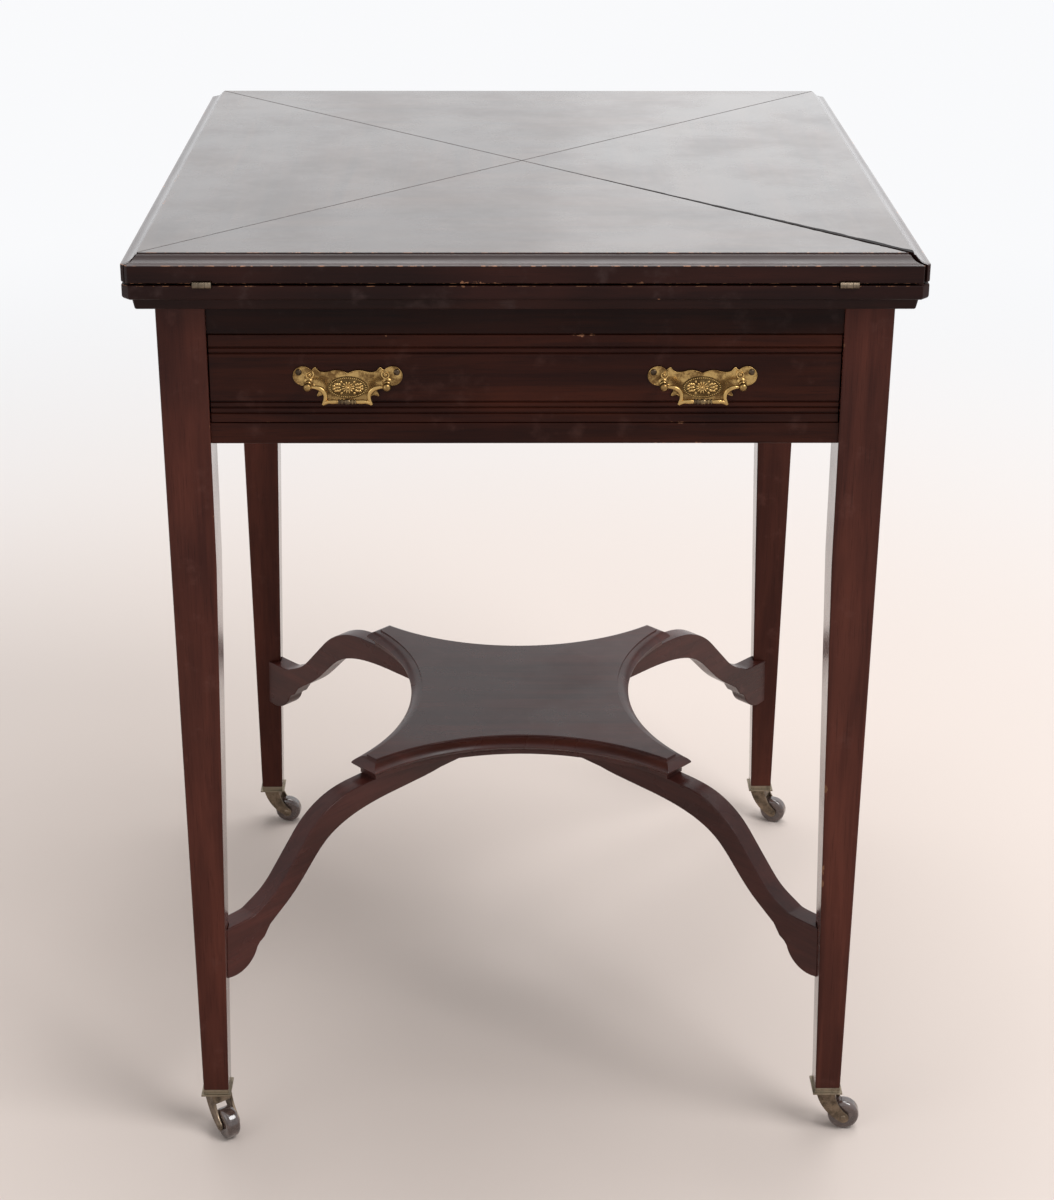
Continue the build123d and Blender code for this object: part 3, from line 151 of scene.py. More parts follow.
class GamesTableWood(bpy.types.PropertyGroup):
    top_dark: colour("Top, dark tone", "Darker tone of the polished leaf faces", (0.020, 0.0120, 0.0090))
    top_light: colour("Top, light tone", "Lighter tone of the polished leaf faces", (0.058, 0.0340, 0.0230))
    edge_dark: colour("Edge, dark tone", "Darker tone of the boards' edges", (0.0090, 0.0022, 0.0018))
    edge_light: colour("Edge, light tone", "Lighter tone of the boards' edges", (0.027, 0.0072, 0.0048))
    frame_dark: colour("Frame, dark tone", "Darker tone of rails and drawer", (0.0110, 0.0022, 0.0014))
    frame_light: colour("Frame, light tone", "Lighter tone of rails and drawer", (0.052, 0.0115, 0.0052))
    leg_dark: colour("Leg, dark tone", "Darker tone of the legs", (0.034, 0.0076, 0.0050))
    leg_light: colour("Leg, light tone", "Lighter tone of the legs", (0.094, 0.0250, 0.0155))
    shelf_dark: colour("Shelf, dark tone", "Darker tone of the shelf and stretchers", (0.030, 0.0085, 0.0070))
    shelf_light: colour("Shelf, light tone", "Lighter tone of shelf and stretchers", (0.080, 0.0210, 0.0155))
    inside_dark: colour("Carcase, dark tone", "Darker tone of the plain inner wood", (0.20, 0.110, 0.055))
    inside_light: colour("Carcase, light tone", "Lighter tone of the plain inner wood", (0.36, 0.225, 0.125))
    bare_wood: colour("Bare wood", "Colour where the stain has worn off an arris", (0.36, 0.165, 0.088))
    fleck: colour("Flecks", "Colour of the tiny pale flecks", (0.62, 0.60, 0.56))
    leg_round: length("Leg rounding", "Softening of the legs' arrises", 0.0003)
    board_round: length("Board rounding", "Softening of the boards' arrises", 0.0005)
    rail_round: length("Rail rounding", "Softening of the rails' arrises", 0.00025)
    stretcher_round: length("Stretcher rounding", "Rounding of the stretchers' arrises", 0.00095)
    shelf_round: length("Shelf rounding", "Softening of the shelf's arrises", 0.0003)


class GamesTableMetal(bpy.types.PropertyGroup):
    brass: colour("Pull brass", "Clean brass of the drawer pulls", (0.46, 0.295, 0.110))
    tarnish: colour("Brass tarnish", "Dulled brass in the hollows of the pulls", (0.150, 0.082, 0.030))
    pin: colour("Pin heads", "Dark domed pins of the pulls", (0.080, 0.055, 0.036))
    hinge: colour("Hinge metal", "Dull metal of the leaf hinges", (0.20, 0.155, 0.110))
    caster: colour("Caster brass", "Dull brass of the caster plates", (0.27, 0.225, 0.165))
    horn: colour("Horn brass", "Brown tarnished brass of the caster horns", (0.230, 0.175, 0.125))
    steel: colour("Pivot steel", "Steel of the pivot under the bed board", (0.30, 0.29, 0.28))
    glaze: colour("Wheel glaze", "Brown glaze of the caster wheels", (0.052, 0.033, 0.029))
    plate_round: length("Plate rounding", "Softening of the caster plates' edges", 0.0003)
    horn_round: length("Horn rounding", "Softening of the caster horns' edges", 0.0006)
    rivet: length("Axle rivet", "Radius of the domed rivet heads on the horns", 0.0027)


class GamesTableCloth(bpy.types.PropertyGroup):
    baize: colour("Baize", "Colour of the playing cloth", (0.022, 0.115, 0.050))
    worn: colour("Worn baize", "Colour of the cloth where it has faded", (0.060, 0.170, 0.080))
    thickness: length("Cloth thickness", "Thickness of the baize", 0.0008)


class GamesTablePulls(bpy.types.PropertyGroup):
    plate: length("Plate thickness", "Thickness of the pressed plate", 0.0011)
    rim: length("Rim radius", "Radius of the raised rim round the plate", 0.00042)
    beads: count("Beads", "Beads round one medallion", 46, 12, 80)
    bead: length("Bead radius", "Radius of one bead", 0.00062)
    oval_long: length("Medallion half length", "Half length of the bead ring", 0.0129)
    oval_high: length("Medallion half height", "Half height of the bead ring", 0.0071)
    petals: count("Petals", "Petals round the middle pearl", 12, 6, 24)
    scroll: length("Scroll wire", "Radius of the raised scrolls on the lobes", 0.00060)


class GamesTableStage(bpy.types.PropertyGroup):
    floor: colour("Floor", "Colour of the plain floor near the table", (0.67, 0.59, 0.545))
    distance: colour("Far floor", "Colour of the floor further off", (0.88, 0.88, 0.89))
    sky: colour("Background", "Colour of the background", (0.95, 0.955, 0.97))
    ambient: FloatProperty(
        name="Ambient light", description="Strength of the even light from the world", default=0.42, min=0.0,
        max=2.0,
    )
    key: power("Key light", "Power of the key light", 58.0)
    fill: power("Fill light", "Power of the fill light", 9.0)
    over: power("Top light", "Power of the light overhead", 60.0)
    behind: power("Back light", "Power of the light behind", 6.0)
    lens: FloatProperty(name="Lens", description="Focal length in millimetres", default=68.26, min=10.0)


# Mesh helpers

FACET_MERGE = 0.000002
LATHE_MERGE = 0.000005
WIRE_MERGE = 0.000004
PLATE_MERGE = 0.000001
FLAT_ANGLE = 0.8


def deselect():
    if bpy.context.mode != "OBJECT":
        bpy.ops.object.mode_set(mode="OBJECT")
    bpy.ops.object.select_all(action="DESELECT")


def choose(obj):
    deselect()
    obj.select_set(True)
    bpy.context.view_layer.objects.active = obj


def named(obj, name):
    obj.name = name
    obj.data.name = name
    return obj


def join(pieces, name):
    deselect()
    for piece in pieces:
        piece.select_set(True)
    bpy.context.view_layer.objects.active = pieces[0]
    if len(pieces) > 1:
        bpy.ops.object.join()
    return named(bpy.context.view_layer.objects.active, name)


def settle(obj):
    # The object goes back to the origin and its place goes into its mesh.
    choose(obj)
    bpy.ops.object.transform_apply(location=True, rotation=True, scale=True)


def smooth(obj, degrees=38.0):
    choose(obj)
    bpy.ops.object.shade_smooth_by_angle(angle=math.radians(degrees))


def flat_faces(obj):
    # The large faces keep their own direction, so the rounding shades only itself.
    weight = obj.modifiers.new("face_weight", "WEIGHTED_NORMAL")
    weight.weight = 100
    weight.keep_sharp = True
    choose(obj)
    bpy.ops.object.modifier_apply(modifier=weight.name)


def tidy_mesh(obj, merge):
    choose(obj)
    bpy.ops.object.mode_set(mode="EDIT")
    bpy.ops.mesh.select_all(action="SELECT")
    bpy.ops.mesh.remove_doubles(threshold=merge)
    bpy.ops.mesh.normals_make_consistent(inside=False)
    bpy.ops.object.mode_set(mode="OBJECT")


def paint(obj, *materials):
    obj.data.materials.clear()
    for material in materials:
        obj.data.materials.append(material)


def dress(obj, body, slot, *nodes):
    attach(obj, body)
    if nodes:
        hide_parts(*nodes)
    return obj


def softened(node, name, width, degrees=28.0, steps=2):
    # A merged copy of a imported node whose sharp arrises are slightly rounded.
    copy = bpy.data.objects.new(name, frame["nodes"][node].data.copy())
    bpy.context.scene.collection.objects.link(copy)
    copy.data.name = name
    choose(copy)
    bpy.ops.mesh.customdata_custom_splitnormals_clear()
    bpy.ops.object.mode_set(mode="EDIT")
    bpy.ops.mesh.select_mode(type="EDGE")
    bpy.ops.mesh.select_all(action="SELECT")
    bpy.ops.mesh.remove_doubles(threshold=FACET_MERGE)
    bpy.ops.mesh.dissolve_limited(angle_limit=math.radians(FLAT_ANGLE))
    bpy.ops.mesh.select_all(action="DESELECT")
    bpy.ops.mesh.edges_select_sharp(sharpness=math.radians(degrees))
    bpy.ops.mesh.bevel(offset=width, segments=steps, affect="EDGES", clamp_overlap=False)
    bpy.ops.object.mode_set(mode="OBJECT")
    smooth(copy)
    flat_faces(copy)
    return copy


def zone(obj, index, test):
    # Gives the faces that pass the test, on centre and normal, a material slot.
    for face in obj.data.polygons:
        if test(face.center, face.normal):
            face.material_index = index


def turned(profile, steps, name, start, axis, across):
    # A lathe: the profile is (along, radius) pairs from the start along the axis.
    points = [start + axis * along + across * radius for along, radius in profile]
    bpy.ops.mesh.primitive_circle_add(vertices=len(points), radius=1.0)
    made = bpy.context.object
    made.name = name
    for vertex, point in zip(made.data.vertices, points):
        vertex.co = point
    made.location = (0, 0, 0)
    bpy.ops.object.mode_set(mode="EDIT")
    bpy.ops.mesh.select_all(action="DESELECT")
    bpy.ops.object.mode_set(mode="OBJECT")
    last = {0, len(points) - 1}
    for edge in made.data.edges:
        edge.select = set(edge.vertices) == last
    bpy.ops.object.mode_set(mode="EDIT")
    bpy.ops.mesh.select_mode(type="EDGE")
    bpy.ops.mesh.delete(type="EDGE_FACE")
    bpy.ops.mesh.select_all(action="SELECT")
    bpy.ops.mesh.spin(steps=steps, angle=math.tau, center=start, axis=axis)
    tidy_mesh(made, LATHE_MERGE)
    return made


def wire(points, radius, name, cyclic=False, resolution=6, sides=3):
    # A round wire through the points; each point may carry its own share of the radius.
    bpy.ops.curve.primitive_nurbs_path_add()
    made = bpy.context.object
    made.location = (0, 0, 0)
    made.name = name
    line = made.data
    line.splines.clear()
    spline = line.splines.new("NURBS")
    spline.points.add(len(points) - 1)
    for place, point in zip(spline.points, points):
        place.co = (point[0], point[1], point[2], 1.0)
        place.radius = point[3] if len(point) > 3 else 1.0
    spline.order_u = 3
    spline.use_endpoint_u = not cyclic
    spline.use_cyclic_u = cyclic
    spline.resolution_u = resolution
    line.bevel_depth = radius
    line.bevel_resolution = sides
    line.use_fill_caps = True
    choose(made)
    bpy.ops.object.convert(target="MESH")
    tidy_mesh(made, WIRE_MERGE)
    return made


def ball(centre, radii, name, segments=16, rings=10):
    bpy.ops.mesh.primitive_uv_sphere_add(segments=segments, ring_count=rings, radius=1.0, location=centre)
    made = bpy.context.object
    made.scale = radii
    made.name = name
    settle(made)
    return made


# Material helpers

PLAIN_SCALE = (1.0, 1.0, 1.0)
NO_TURN = (0.0, 0.0, 0.0)


def new_material(name):
    # The frame's own plain materials bear the slot names, hence the prefix.
    name = "finish_" + name
    material = bpy.data.materials.get(name)
    if material:
        return material, None, None
    material = bpy.data.materials.new(name)
    material.use_nodes = True
    tree = material.node_tree
    tree.nodes.clear()
    out = tree.nodes.new("ShaderNodeOutputMaterial")
    shader = tree.nodes.new("ShaderNodeBsdfPrincipled")
    tree.links.new(shader.outputs[0], out.inputs[0])
    return material, tree, shader


def put(tree, socket, value):
    if isinstance(value, bpy.types.NodeSocket):
        tree.links.new(value, socket)
    elif hasattr(value, "__len__") and len(value) == 3 and len(socket.default_value) == 4:
        socket.default_value = (*value, 1.0)
    else:
        socket.default_value = value


def add(tree, kind, links=None, **settings):
    made = tree.nodes.new("ShaderNode" + kind)
    for key, value in settings.items():
        setattr(made, key, value)
    for key, value in (links or {}).items():
        put(tree, made.inputs[key], value)
    return made


def calc(tree, operation, *values):
    made = tree.nodes.new("ShaderNodeMath")
    made.operation = operation
    for socket, value in zip(made.inputs, values):
        put(tree, socket, value)
    return made.outputs[0]


def times(tree, first, second):
    return calc(tree, "MULTIPLY", first, second)


def plus(tree, first, second):
    return calc(tree, "ADD", first, second)


def minus(tree, first, second):
    return calc(tree, "SUBTRACT", first, second)


def distance_of(tree, first, second):
    squares = plus(tree, times(tree, first, first), times(tree, second, second))
    return calc(tree, "SQRT", squares)


def scaled(tone, share, lift=0.0):
    return tuple(value * share + lift for value in tone)


def object_axes(tree):
    return add(tree, "SeparateXYZ", {"Vector": place_of(tree)}).outputs


def mix_shaders(tree, factor, first, second):
    mix = tree.nodes.new("ShaderNodeMixShader")
    for socket, value in zip(mix.inputs, (factor, first, second)):
        tree.links.new(value, socket)
    return mix.outputs[0]


def seen_rays(tree):
    # One for rays that show the background: straight, mirrored or through glass.
    path = add(tree, "LightPath")
    straight = calc(tree, "MAXIMUM", path.outputs["Is Camera Ray"], path.outputs["Is Glossy Ray"])
    return calc(tree, "MAXIMUM", straight, path.outputs["Is Transmission Ray"])


def ramp(tree, value, low, high, start=0.0, end=1.0):
    links = {"Value": value, "From Min": low, "From Max": high, "To Min": start, "To Max": end}
    return add(tree, "MapRange", links, interpolation_type="SMOOTHSTEP").outputs[0]


def straight_ramp(tree, value, low, high):
    return add(tree, "MapRange", {"Value": value, "From Min": low, "From Max": high}).outputs[0]


def blend(tree, factor, first, second, mode="MIX"):
    made = tree.nodes.new("ShaderNodeMix")
    made.data_type = "RGBA"
    made.blend_type = mode
    put(tree, made.inputs[0], factor)
    put(tree, made.inputs[6], first)
    put(tree, made.inputs[7], second)
    return made.outputs[2]


def place_of(tree, turn=NO_TURN, stretch=PLAIN_SCALE, offset=NO_TURN):
    coordinates = add(tree, "TexCoord").outputs["Object"]
    if any(turn):
        coordinates = add(tree, "Mapping", {"Vector": coordinates, "Rotation": turn}).outputs[0]
    if any(offset) or stretch != PLAIN_SCALE:
        links = {"Vector": coordinates, "Scale": stretch, "Location": offset}
        coordinates = add(tree, "Mapping", links).outputs[0]
    return coordinates


def cloudy(tree, coordinates, scale, detail=2.0, roughness=0.5, distortion=0.0):
    links = {"Vector": coordinates, "Scale": scale, "Detail": detail, "Roughness": roughness}
    return add(tree, "TexNoise", {**links, "Distortion": distortion}).outputs[0]


def bump(tree, shader, height, distance, strength):
    made = add(tree, "Bump", {"Height": height, "Distance": distance, "Strength": strength})
    put(tree, shader.inputs["Normal"], made.outputs[0])


# The grain's direction in each finish, as a turn of the pattern
GRAIN = {
    "x": (0.0, 0.0, 0.0),
    "y": (0.0, 0.0, math.radians(-90)),
    "z": (0.0, math.radians(90), 0.0),
    "rising": (0.0, 0.0, math.radians(-45)),
    "falling": (0.0, 0.0, math.radians(45)),
}

# Widths of worn lines and of the painted seam shadow and dirt, in metres
ARRIS_THIN = 0.00044
ARRIS_CHIP = 0.0030
WEAR_FADE = 0.00018
SEAM_SHADOW_NARROW = 0.0008
SEAM_SHADOW_WIDE = 0.0056
SEAM_FADE = 0.0004

# How strongly the arrises are worn
EDGE_WEAR = 1.2
FACE_WEAR = 0.7
RAIL_WEAR = 0.6
LEG_WEAR = 0.8

# How the wood's patterns are scaled: along the grain, then in the two directions across it
FIGURE_STRETCH = (0.7, 7.0, 7.0)
STREAK_STRETCH = (3.0, 120.0, 120.0)
PORE_STRETCH = (40.0, 1500.0, 1500.0)

# Shares, sizes, places and colours in the finishes
FIGURE_SHARE = 0.74
FLECK_SIZE = 0.030
PATCH_SHARE = 0.75
FINE_PATCHES = 9.0
DULL_WANDER = 0.012
BLOOM_PLACE = (7.3, 2.1, 5.7)
SMUDGE_PLACE = (3.1, 1.7, 0.4)
# The near black tone of the painted seam shadow and dirt
SEAM_SHADOW_AND_GRIME_TONE = (0.004, 0.003, 0.003)
WHEEL_DUST = (0.16, 0.13, 0.11)


def ragged(tree, distance, amount_worn):
    # Worn line along an arris: mostly thin, here and there a wider chip.
    patches = cloudy(tree, place_of(tree), 26.0, 3.0, 0.6)
    nibble = cloudy(tree, place_of(tree), 210.0, 3.0, 0.65)
    thin = times(tree, ramp(tree, nibble, 0.44, 0.60), ARRIS_THIN)
    chips = times(tree, ramp(tree, patches, 0.60, 0.74), ramp(tree, nibble, 0.42, 0.66))
    reach = times(tree, plus(tree, thin, times(tree, chips, ARRIS_CHIP)), amount_worn)
    return ramp(tree, minus(tree, reach, distance), 0.0, WEAR_FADE)


def absolute_place(tree):
    across, deep, level = object_axes(tree)
    return calc(tree, "ABSOLUTE", across), calc(tree, "ABSOLUTE", deep), level


def level_wear(tree, half, clip, lines, amount_worn):
    # Wear along the level arrises of a square board: lines are (height, inset).
    across, deep, level = absolute_place(tree)
    plan = minus(tree, calc(tree, "MAXIMUM", across, deep), half)
    if clip:
        corner = times(tree, plus(tree, across, deep), math.sqrt(0.5))
        plan = calc(tree, "MAXIMUM", plan, minus(tree, corner, clip))
    gaps = [
        distance_of(tree, plus(tree, plan, inset), minus(tree, level, height)) for height, inset in lines
    ]
    nearest = gaps[0]
    for gap in gaps[1:]:
        nearest = calc(tree, "MINIMUM", nearest, gap)
    return ragged(tree, nearest, amount_worn)


def leg_wear(tree):
    # Wear along the four long arrises of a tapered leg.
    across, deep, level = absolute_place(tree)
    share = straight_ramp(tree, level, LEG_LOW, KNEE)
    half = plus(tree, times(tree, share, LEG_HALF - FOOT_HALF), FOOT_HALF)
    middle = plus(tree, times(tree, share, LEG_MIDDLE - FOOT_MIDDLE), FOOT_MIDDLE)
    sides = [
        minus(tree, half, calc(tree, "ABSOLUTE", minus(tree, value, middle))) for value in (across, deep)
    ]
    return ragged(tree, distance_of(tree, *sides), LEG_WEAR)


def painted_seam_shadow_and_dirt(tree):
    # Painted shadow and dirt beside the open seam that runs to the front right corner: a near black line for
    # the shade in the gap, widest at that corner.
    across, deep, _ = object_axes(tree)
    off = calc(tree, "ABSOLUTE", plus(tree, across, deep))
    reach = ramp(tree, minus(tree, across, deep), 0.0, 2.0 * HALF_TOP, SEAM_SHADOW_NARROW, SEAM_SHADOW_WIDE)
    uneven = ramp(tree, cloudy(tree, place_of(tree), 60.0, 3.0), 0.3, 0.7, 0.7, 1.1)
    return ramp(tree, minus(tree, times(tree, reach, uneven), off), 0.0, SEAM_FADE)


def wood_material(
    name, tones, grain, roughness, coat=0.0, shine=0.3, wear=None, flecks=0.0, mottle=0.25, dust=0.35,
    shadow_and_dirt=None,
):
    # Stained wood: figure and streaks along the grain, blotches, dust, pores and wear, and where asked a
    # painted seam shadow with dirt.
    material, tree, shader = new_material(name)
    if tree is None:
        return material
    settings = bpy.context.scene.games_table_wood
    turn = GRAIN[grain]
    figure = cloudy(tree, place_of(tree, turn, FIGURE_STRETCH), 7.0, 4.0, 0.55, 0.7)
    streaks = cloudy(tree, place_of(tree, turn, STREAK_STRETCH), 2.4, 3.0, 0.6)
    pores = cloudy(tree, place_of(tree, turn, PORE_STRETCH), 1.0, 2.0, 0.6)
    blotch = cloudy(tree, place_of(tree), 6.5, 3.0, 0.55)
    share = plus(tree, times(tree, figure, FIGURE_SHARE), times(tree, streaks, 1.0 - FIGURE_SHARE))
    tone = blend(tree, ramp(tree, share, 0.22, 0.78), tones[0], tones[1])
    shade = ramp(tree, blotch, 0.30, 0.72, 1.0 - mottle, 1.0 + mottle)
    grey = add(tree, "CombineColor", {0: shade, 1: shade, 2: shade}).outputs[0]
    tone = blend(tree, 1.0, tone, grey, "MULTIPLY")
    bloom = cloudy(tree, place_of(tree, offset=BLOOM_PLACE), 48.0, 4.0, 0.6)
    tone = blend(tree, ramp(tree, bloom, 0.56, 0.80, 0.0, dust), tone, scaled(tones[1], 1.2, 0.022))
    dark = ramp(tree, pores, 0.56, 0.72, 0.0, 0.40)
    tone = blend(tree, dark, tone, scaled(tones[0], 0.35))
    smudge = cloudy(tree, place_of(tree, offset=SMUDGE_PLACE), 11.0, 4.0, 0.6)
    rough = ramp(tree, smudge, 0.30, 0.72, *roughness)
    if wear is not None:
        worn = wear(tree)
        rubbed = ramp(tree, streaks, 0.35, 0.65)
        bare = blend(tree, rubbed, settings.bare_wood, scaled(settings.bare_wood, 0.45))
        tone = blend(tree, worn, tone, bare)
        rough = plus(tree, rough, times(tree, worn, 0.3))
    if flecks:
        spots = add(tree, "TexVoronoi", {"Vector": place_of(tree), "Scale": 42.0})
        chosen = add(tree, "SeparateColor", {"Color": spots.outputs["Color"]}).outputs[0]
        small = calc(tree, "LESS_THAN", spots.outputs["Distance"], FLECK_SIZE)
        rare = calc(tree, "GREATER_THAN", chosen, 1.0 - flecks)
        tone = blend(tree, times(tree, small, rare), tone, settings.fleck)
    shader.inputs["Coat Weight"].default_value = coat
    # The seam mask paints shade and dirt into the colour: near black, rougher and with less coat.
    if shadow_and_dirt is not None:
        seam_shadow_and_grime = shadow_and_dirt(tree)
        tone = blend(tree, seam_shadow_and_grime, tone, SEAM_SHADOW_AND_GRIME_TONE)
        rough = plus(tree, rough, times(tree, seam_shadow_and_grime, 0.6))
        put(tree, shader.inputs["Coat Weight"], times(tree, minus(tree, 1.0, seam_shadow_and_grime), coat))
    put(tree, shader.inputs["Base Color"], tone)
    put(tree, shader.inputs["Roughness"], rough)
    shader.inputs["Specular IOR Level"].default_value = shine
    shader.inputs["Coat Roughness"].default_value = 0.16
    bump(tree, shader, minus(tree, times(tree, streaks, 0.35), times(tree, dark, 0.5)), 0.00012, 0.35)
    return material


def metal_material(name, tones, roughness, spread=(0.42, 0.66), scale=55.0, scratch=0.15, low=None):
    # Metal that is clean in some places and dull in others, and darker below the low levels: a painted shade.
    material, tree, shader = new_material(name)
    if tree is None:
        return material
    patches = cloudy(tree, place_of(tree), scale, 4.0, 0.6)
    fine = cloudy(tree, place_of(tree), scale * FINE_PATCHES, 3.0, 0.6)
    mix = plus(tree, times(tree, patches, PATCH_SHARE), times(tree, fine, 1.0 - PATCH_SHARE))
    dulled = ramp(tree, mix, *spread)
    # Painted shade: the colour turns to the dull tone from the upper level down to the lower one.
    if low is not None:
        level = plus(tree, object_axes(tree)[2], times(tree, mix, DULL_WANDER))
        dulled = calc(tree, "MAXIMUM", dulled, ramp(tree, level, *low, 0.75, 0.0))
    put(tree, shader.inputs["Base Color"], blend(tree, dulled, *tones))
    put(tree, shader.inputs["Roughness"], ramp(tree, mix, 0.35, 0.68, *roughness))
    shader.inputs["Metallic"].default_value = 1.0
    bump(tree, shader, fine, 0.00006, scratch)
    return material


def glaze_material(name, glaze):
    material, tree, shader = new_material(name)
    if tree is None:
        return material
    clouds = cloudy(tree, place_of(tree), 160.0, 3.0, 0.6)
    dust = cloudy(tree, place_of(tree), 420.0, 3.0, 0.6)
    tone = blend(tree, ramp(tree, clouds, 0.35, 0.7), glaze, scaled(glaze, 1.9))
    tone = blend(tree, ramp(tree, dust, 0.60, 0.76, 0.0, 0.3), tone, WHEEL_DUST)
    put(tree, shader.inputs["Base Color"], tone)
    put(tree, shader.inputs["Roughness"], ramp(tree, dust, 0.4, 0.7, 0.10, 0.34))
    shader.inputs["Coat Weight"].default_value = 1.0
    shader.inputs["Coat Roughness"].default_value = 0.06
    bump(tree, shader, clouds, 0.0001, 0.2)
    return material


def baize_material(name, fresh, faded):
    # Felted cloth with a faint weave.
    material, tree, shader = new_material(name)
    if tree is None:
        return material
    felt = cloudy(tree, place_of(tree), 900.0, 3.0, 0.7)
    threads = {"Vector": place_of(tree), "Scale": 260.0, "Distortion": 1.2}
    warp, weft = (add(tree, "TexWave", threads, bands_direction=way).outputs[1] for way in "XY")
    wear = cloudy(tree, place_of(tree), 5.0, 4.0, 0.6)
    tone = blend(tree, ramp(tree, wear, 0.42, 0.72), fresh, faded)
    tone = blend(tree, ramp(tree, felt, 0.35, 0.7, 0.0, 0.55), tone, scaled(fresh, 0.5))
    put(tree, shader.inputs["Base Color"], tone)
    shader.inputs["Roughness"].default_value = 0.95
    shader.inputs["Specular IOR Level"].default_value = 0.15
    shader.inputs["Sheen Weight"].default_value = 0.35
    shader.inputs["Sheen Roughness"].default_value = 0.5
    nap = plus(tree, felt, times(tree, plus(tree, warp, weft), 0.25))
    bump(tree, shader, nap, 0.0003, 0.5)
    return material


def finish_node(name, material):
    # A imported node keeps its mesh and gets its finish.
    node = frame["nodes"][name]
    if not node.data.materials:
        node.data.materials.append(material)
    for place in node.material_slots:
        place.material = material


# Operators


class OBJECT_OT_games_table_boards(bpy.types.Operator):
    """Polishes the bed board and the four leaves, with worn moulded edges"""

    bl_idname = "object.games_table_boards"
    bl_label = "Top boards"

    def execute(self, context):
        wood = context.scene.games_table_wood
        for way in WAYS:
            grain = "x" if way in ("front", "back") else "y"
            leaf = softened("leaf_" + way, "leaf_board_" + way, wood.board_round)
            paint(leaf, self.edge(wood, grain), self.face(wood, grain), self.moulding(wood, grain))
            mould, top = LEAF_ARRIS - wood.board_round, TABLE_TOP - wood.board_round
            zone(leaf, 2, lambda middle, normal: middle.z > mould and normal.z > SLOPES_UP)
            zone(leaf, 1, lambda middle, normal: middle.z > top and normal.z > FACES_UP)
            dress(leaf, "leaf_" + way, "top_wood", "leaf_" + way)
        bed = softened("bed_board", "bed_board_wood", wood.board_round)
        paint(bed, self.edge(wood, "x"))
        dress(bed, "top", "top_wood", "bed_board")
        return {"FINISHED"}

    def edge(self, wood, grain):
        heights = (LEAF_ARRIS, LEAF_LOW, BED_TOP, BED_TOP - BED_EDGE)
        lines = [(height, 0.0) for height in heights]
        return wood_material(
            "board_edge_" + grain, (wood.edge_dark, wood.edge_light), grain, (0.32, 0.5), shine=0.12,
            wear=lambda tree: level_wear(tree, HALF_TOP, HALF_CLIPPED, lines, EDGE_WEAR),
            flecks=0.14, mottle=0.4, dust=0.6,
        )

    def face(self, wood, grain):
        # The leaf faces carry the painted seam shadow and dirt along the front right seam.
        lines = [(TABLE_TOP, EDGE_MOULD)]
        return wood_material(
            "leaf_face_" + grain, (wood.top_dark, wood.top_light), grain, (0.20, 0.42), coat=1.0, shine=0.5,
            wear=lambda tree: level_wear(tree, HALF_TOP, HALF_CLIPPED, lines, FACE_WEAR),
            mottle=0.2, shadow_and_dirt=painted_seam_shadow_and_dirt,
        )

    def moulding(self, wood, grain):
        # The polish is duller along the front and the back, where hands have rubbed it.
        coat = 0.12 if grain == "x" else 1.0
        lines = [(TABLE_TOP, EDGE_MOULD), (LEAF_ARRIS, 0.0)]
        return wood_material(
            "leaf_moulding_" + grain, (wood.edge_dark, wood.edge_light), grain, (0.34, 0.5), coat=coat,
            shine=0.5, wear=lambda tree: level_wear(tree, HALF_TOP, HALF_CLIPPED, lines, EDGE_WEAR),
            mottle=0.2,
        )


class OBJECT_OT_games_table_frame(bpy.types.Operator):
    """Finishes the legs, the rails, the drawer front and the inner woodwork"""

    bl_idname = "object.games_table_frame"
    bl_label = "Frame and drawer"

    def execute(self, context):
        wood = context.scene.games_table_wood
        self.legs(wood)
        self.rails(wood)
        inner_tones = (wood.inside_dark, wood.inside_light)
        for grain, names in INNER_WOOD.items():
            plain = wood_material("carcase_" + grain, inner_tones, grain, (0.5, 0.7))
            for name in names:
                finish_node(name, plain)
        return {"FINISHED"}

    def legs(self, wood):
        # The sides that face each other across the front are glossier.
        tones = (wood.leg_dark, wood.leg_light)
        leg = wood_material(
            "leg_mahogany", tones, "z", (0.28, 0.46), shine=0.13, wear=leg_wear, flecks=0.05
        )
        inner_side = wood_material(
            "leg_side_mahogany", tones, "z", (0.16, 0.30), coat=0.6, shine=0.5, wear=leg_wear
        )
        for corner in CORNERS:
            post = softened("leg_" + corner, "leg_wood_" + corner, wood.leg_round)
            paint(post, leg, inner_side)
            zone(post, 1, lambda middle, normal: normal.x * middle.x < -FACES_IN * abs(middle.x))
            dress(post, "base", "leg_wood", "leg_" + corner)

    def rails(self, wood):
        tones = (wood.frame_dark, wood.frame_light)
        # The frieze gets these tones at under half strength: painted shade from the top's overhang.
        painted_shade_tones = [scaled(tone, 0.45) for tone in tones]
        low_line = [(FRAME_LOW, 0.0)]
        front_lines = [(DRAWER_HIGH, 0.0), (DRAWER_LOW, 0.0), (FRAME_LOW, 0.0)]
        for name, finish_name, grain, body, pair, lines in (
            ("rail_left", "side_rail_mahogany", "y", "base", tones, low_line),
            ("rail_right", "side_rail_mahogany", "y", "base", tones, low_line),
            ("rail_back", "back_rail_mahogany", "x", "base", tones, low_line),
            # The frieze row uses the darker tones, a painted shade.
            ("rail_front_top", "frieze_mahogany", "x", "base", painted_shade_tones, front_lines),
            ("rail_front_bottom", "front_mahogany", "x", "base", tones, front_lines),
            ("drawer_front", "front_mahogany", "x", "drawer", tones, front_lines),
        ):
            finish = wood_material(
                finish_name, pair, grain, (0.30, 0.48), shine=0.10,
                wear=lambda tree: level_wear(tree, FRONT_FACE, 0.0, lines, RAIL_WEAR), flecks=0.05,
            )
            rail = softened(name, name + "_wood", wood.rail_round)
            paint(rail, finish)
            dress(rail, body, "frame_wood", name)


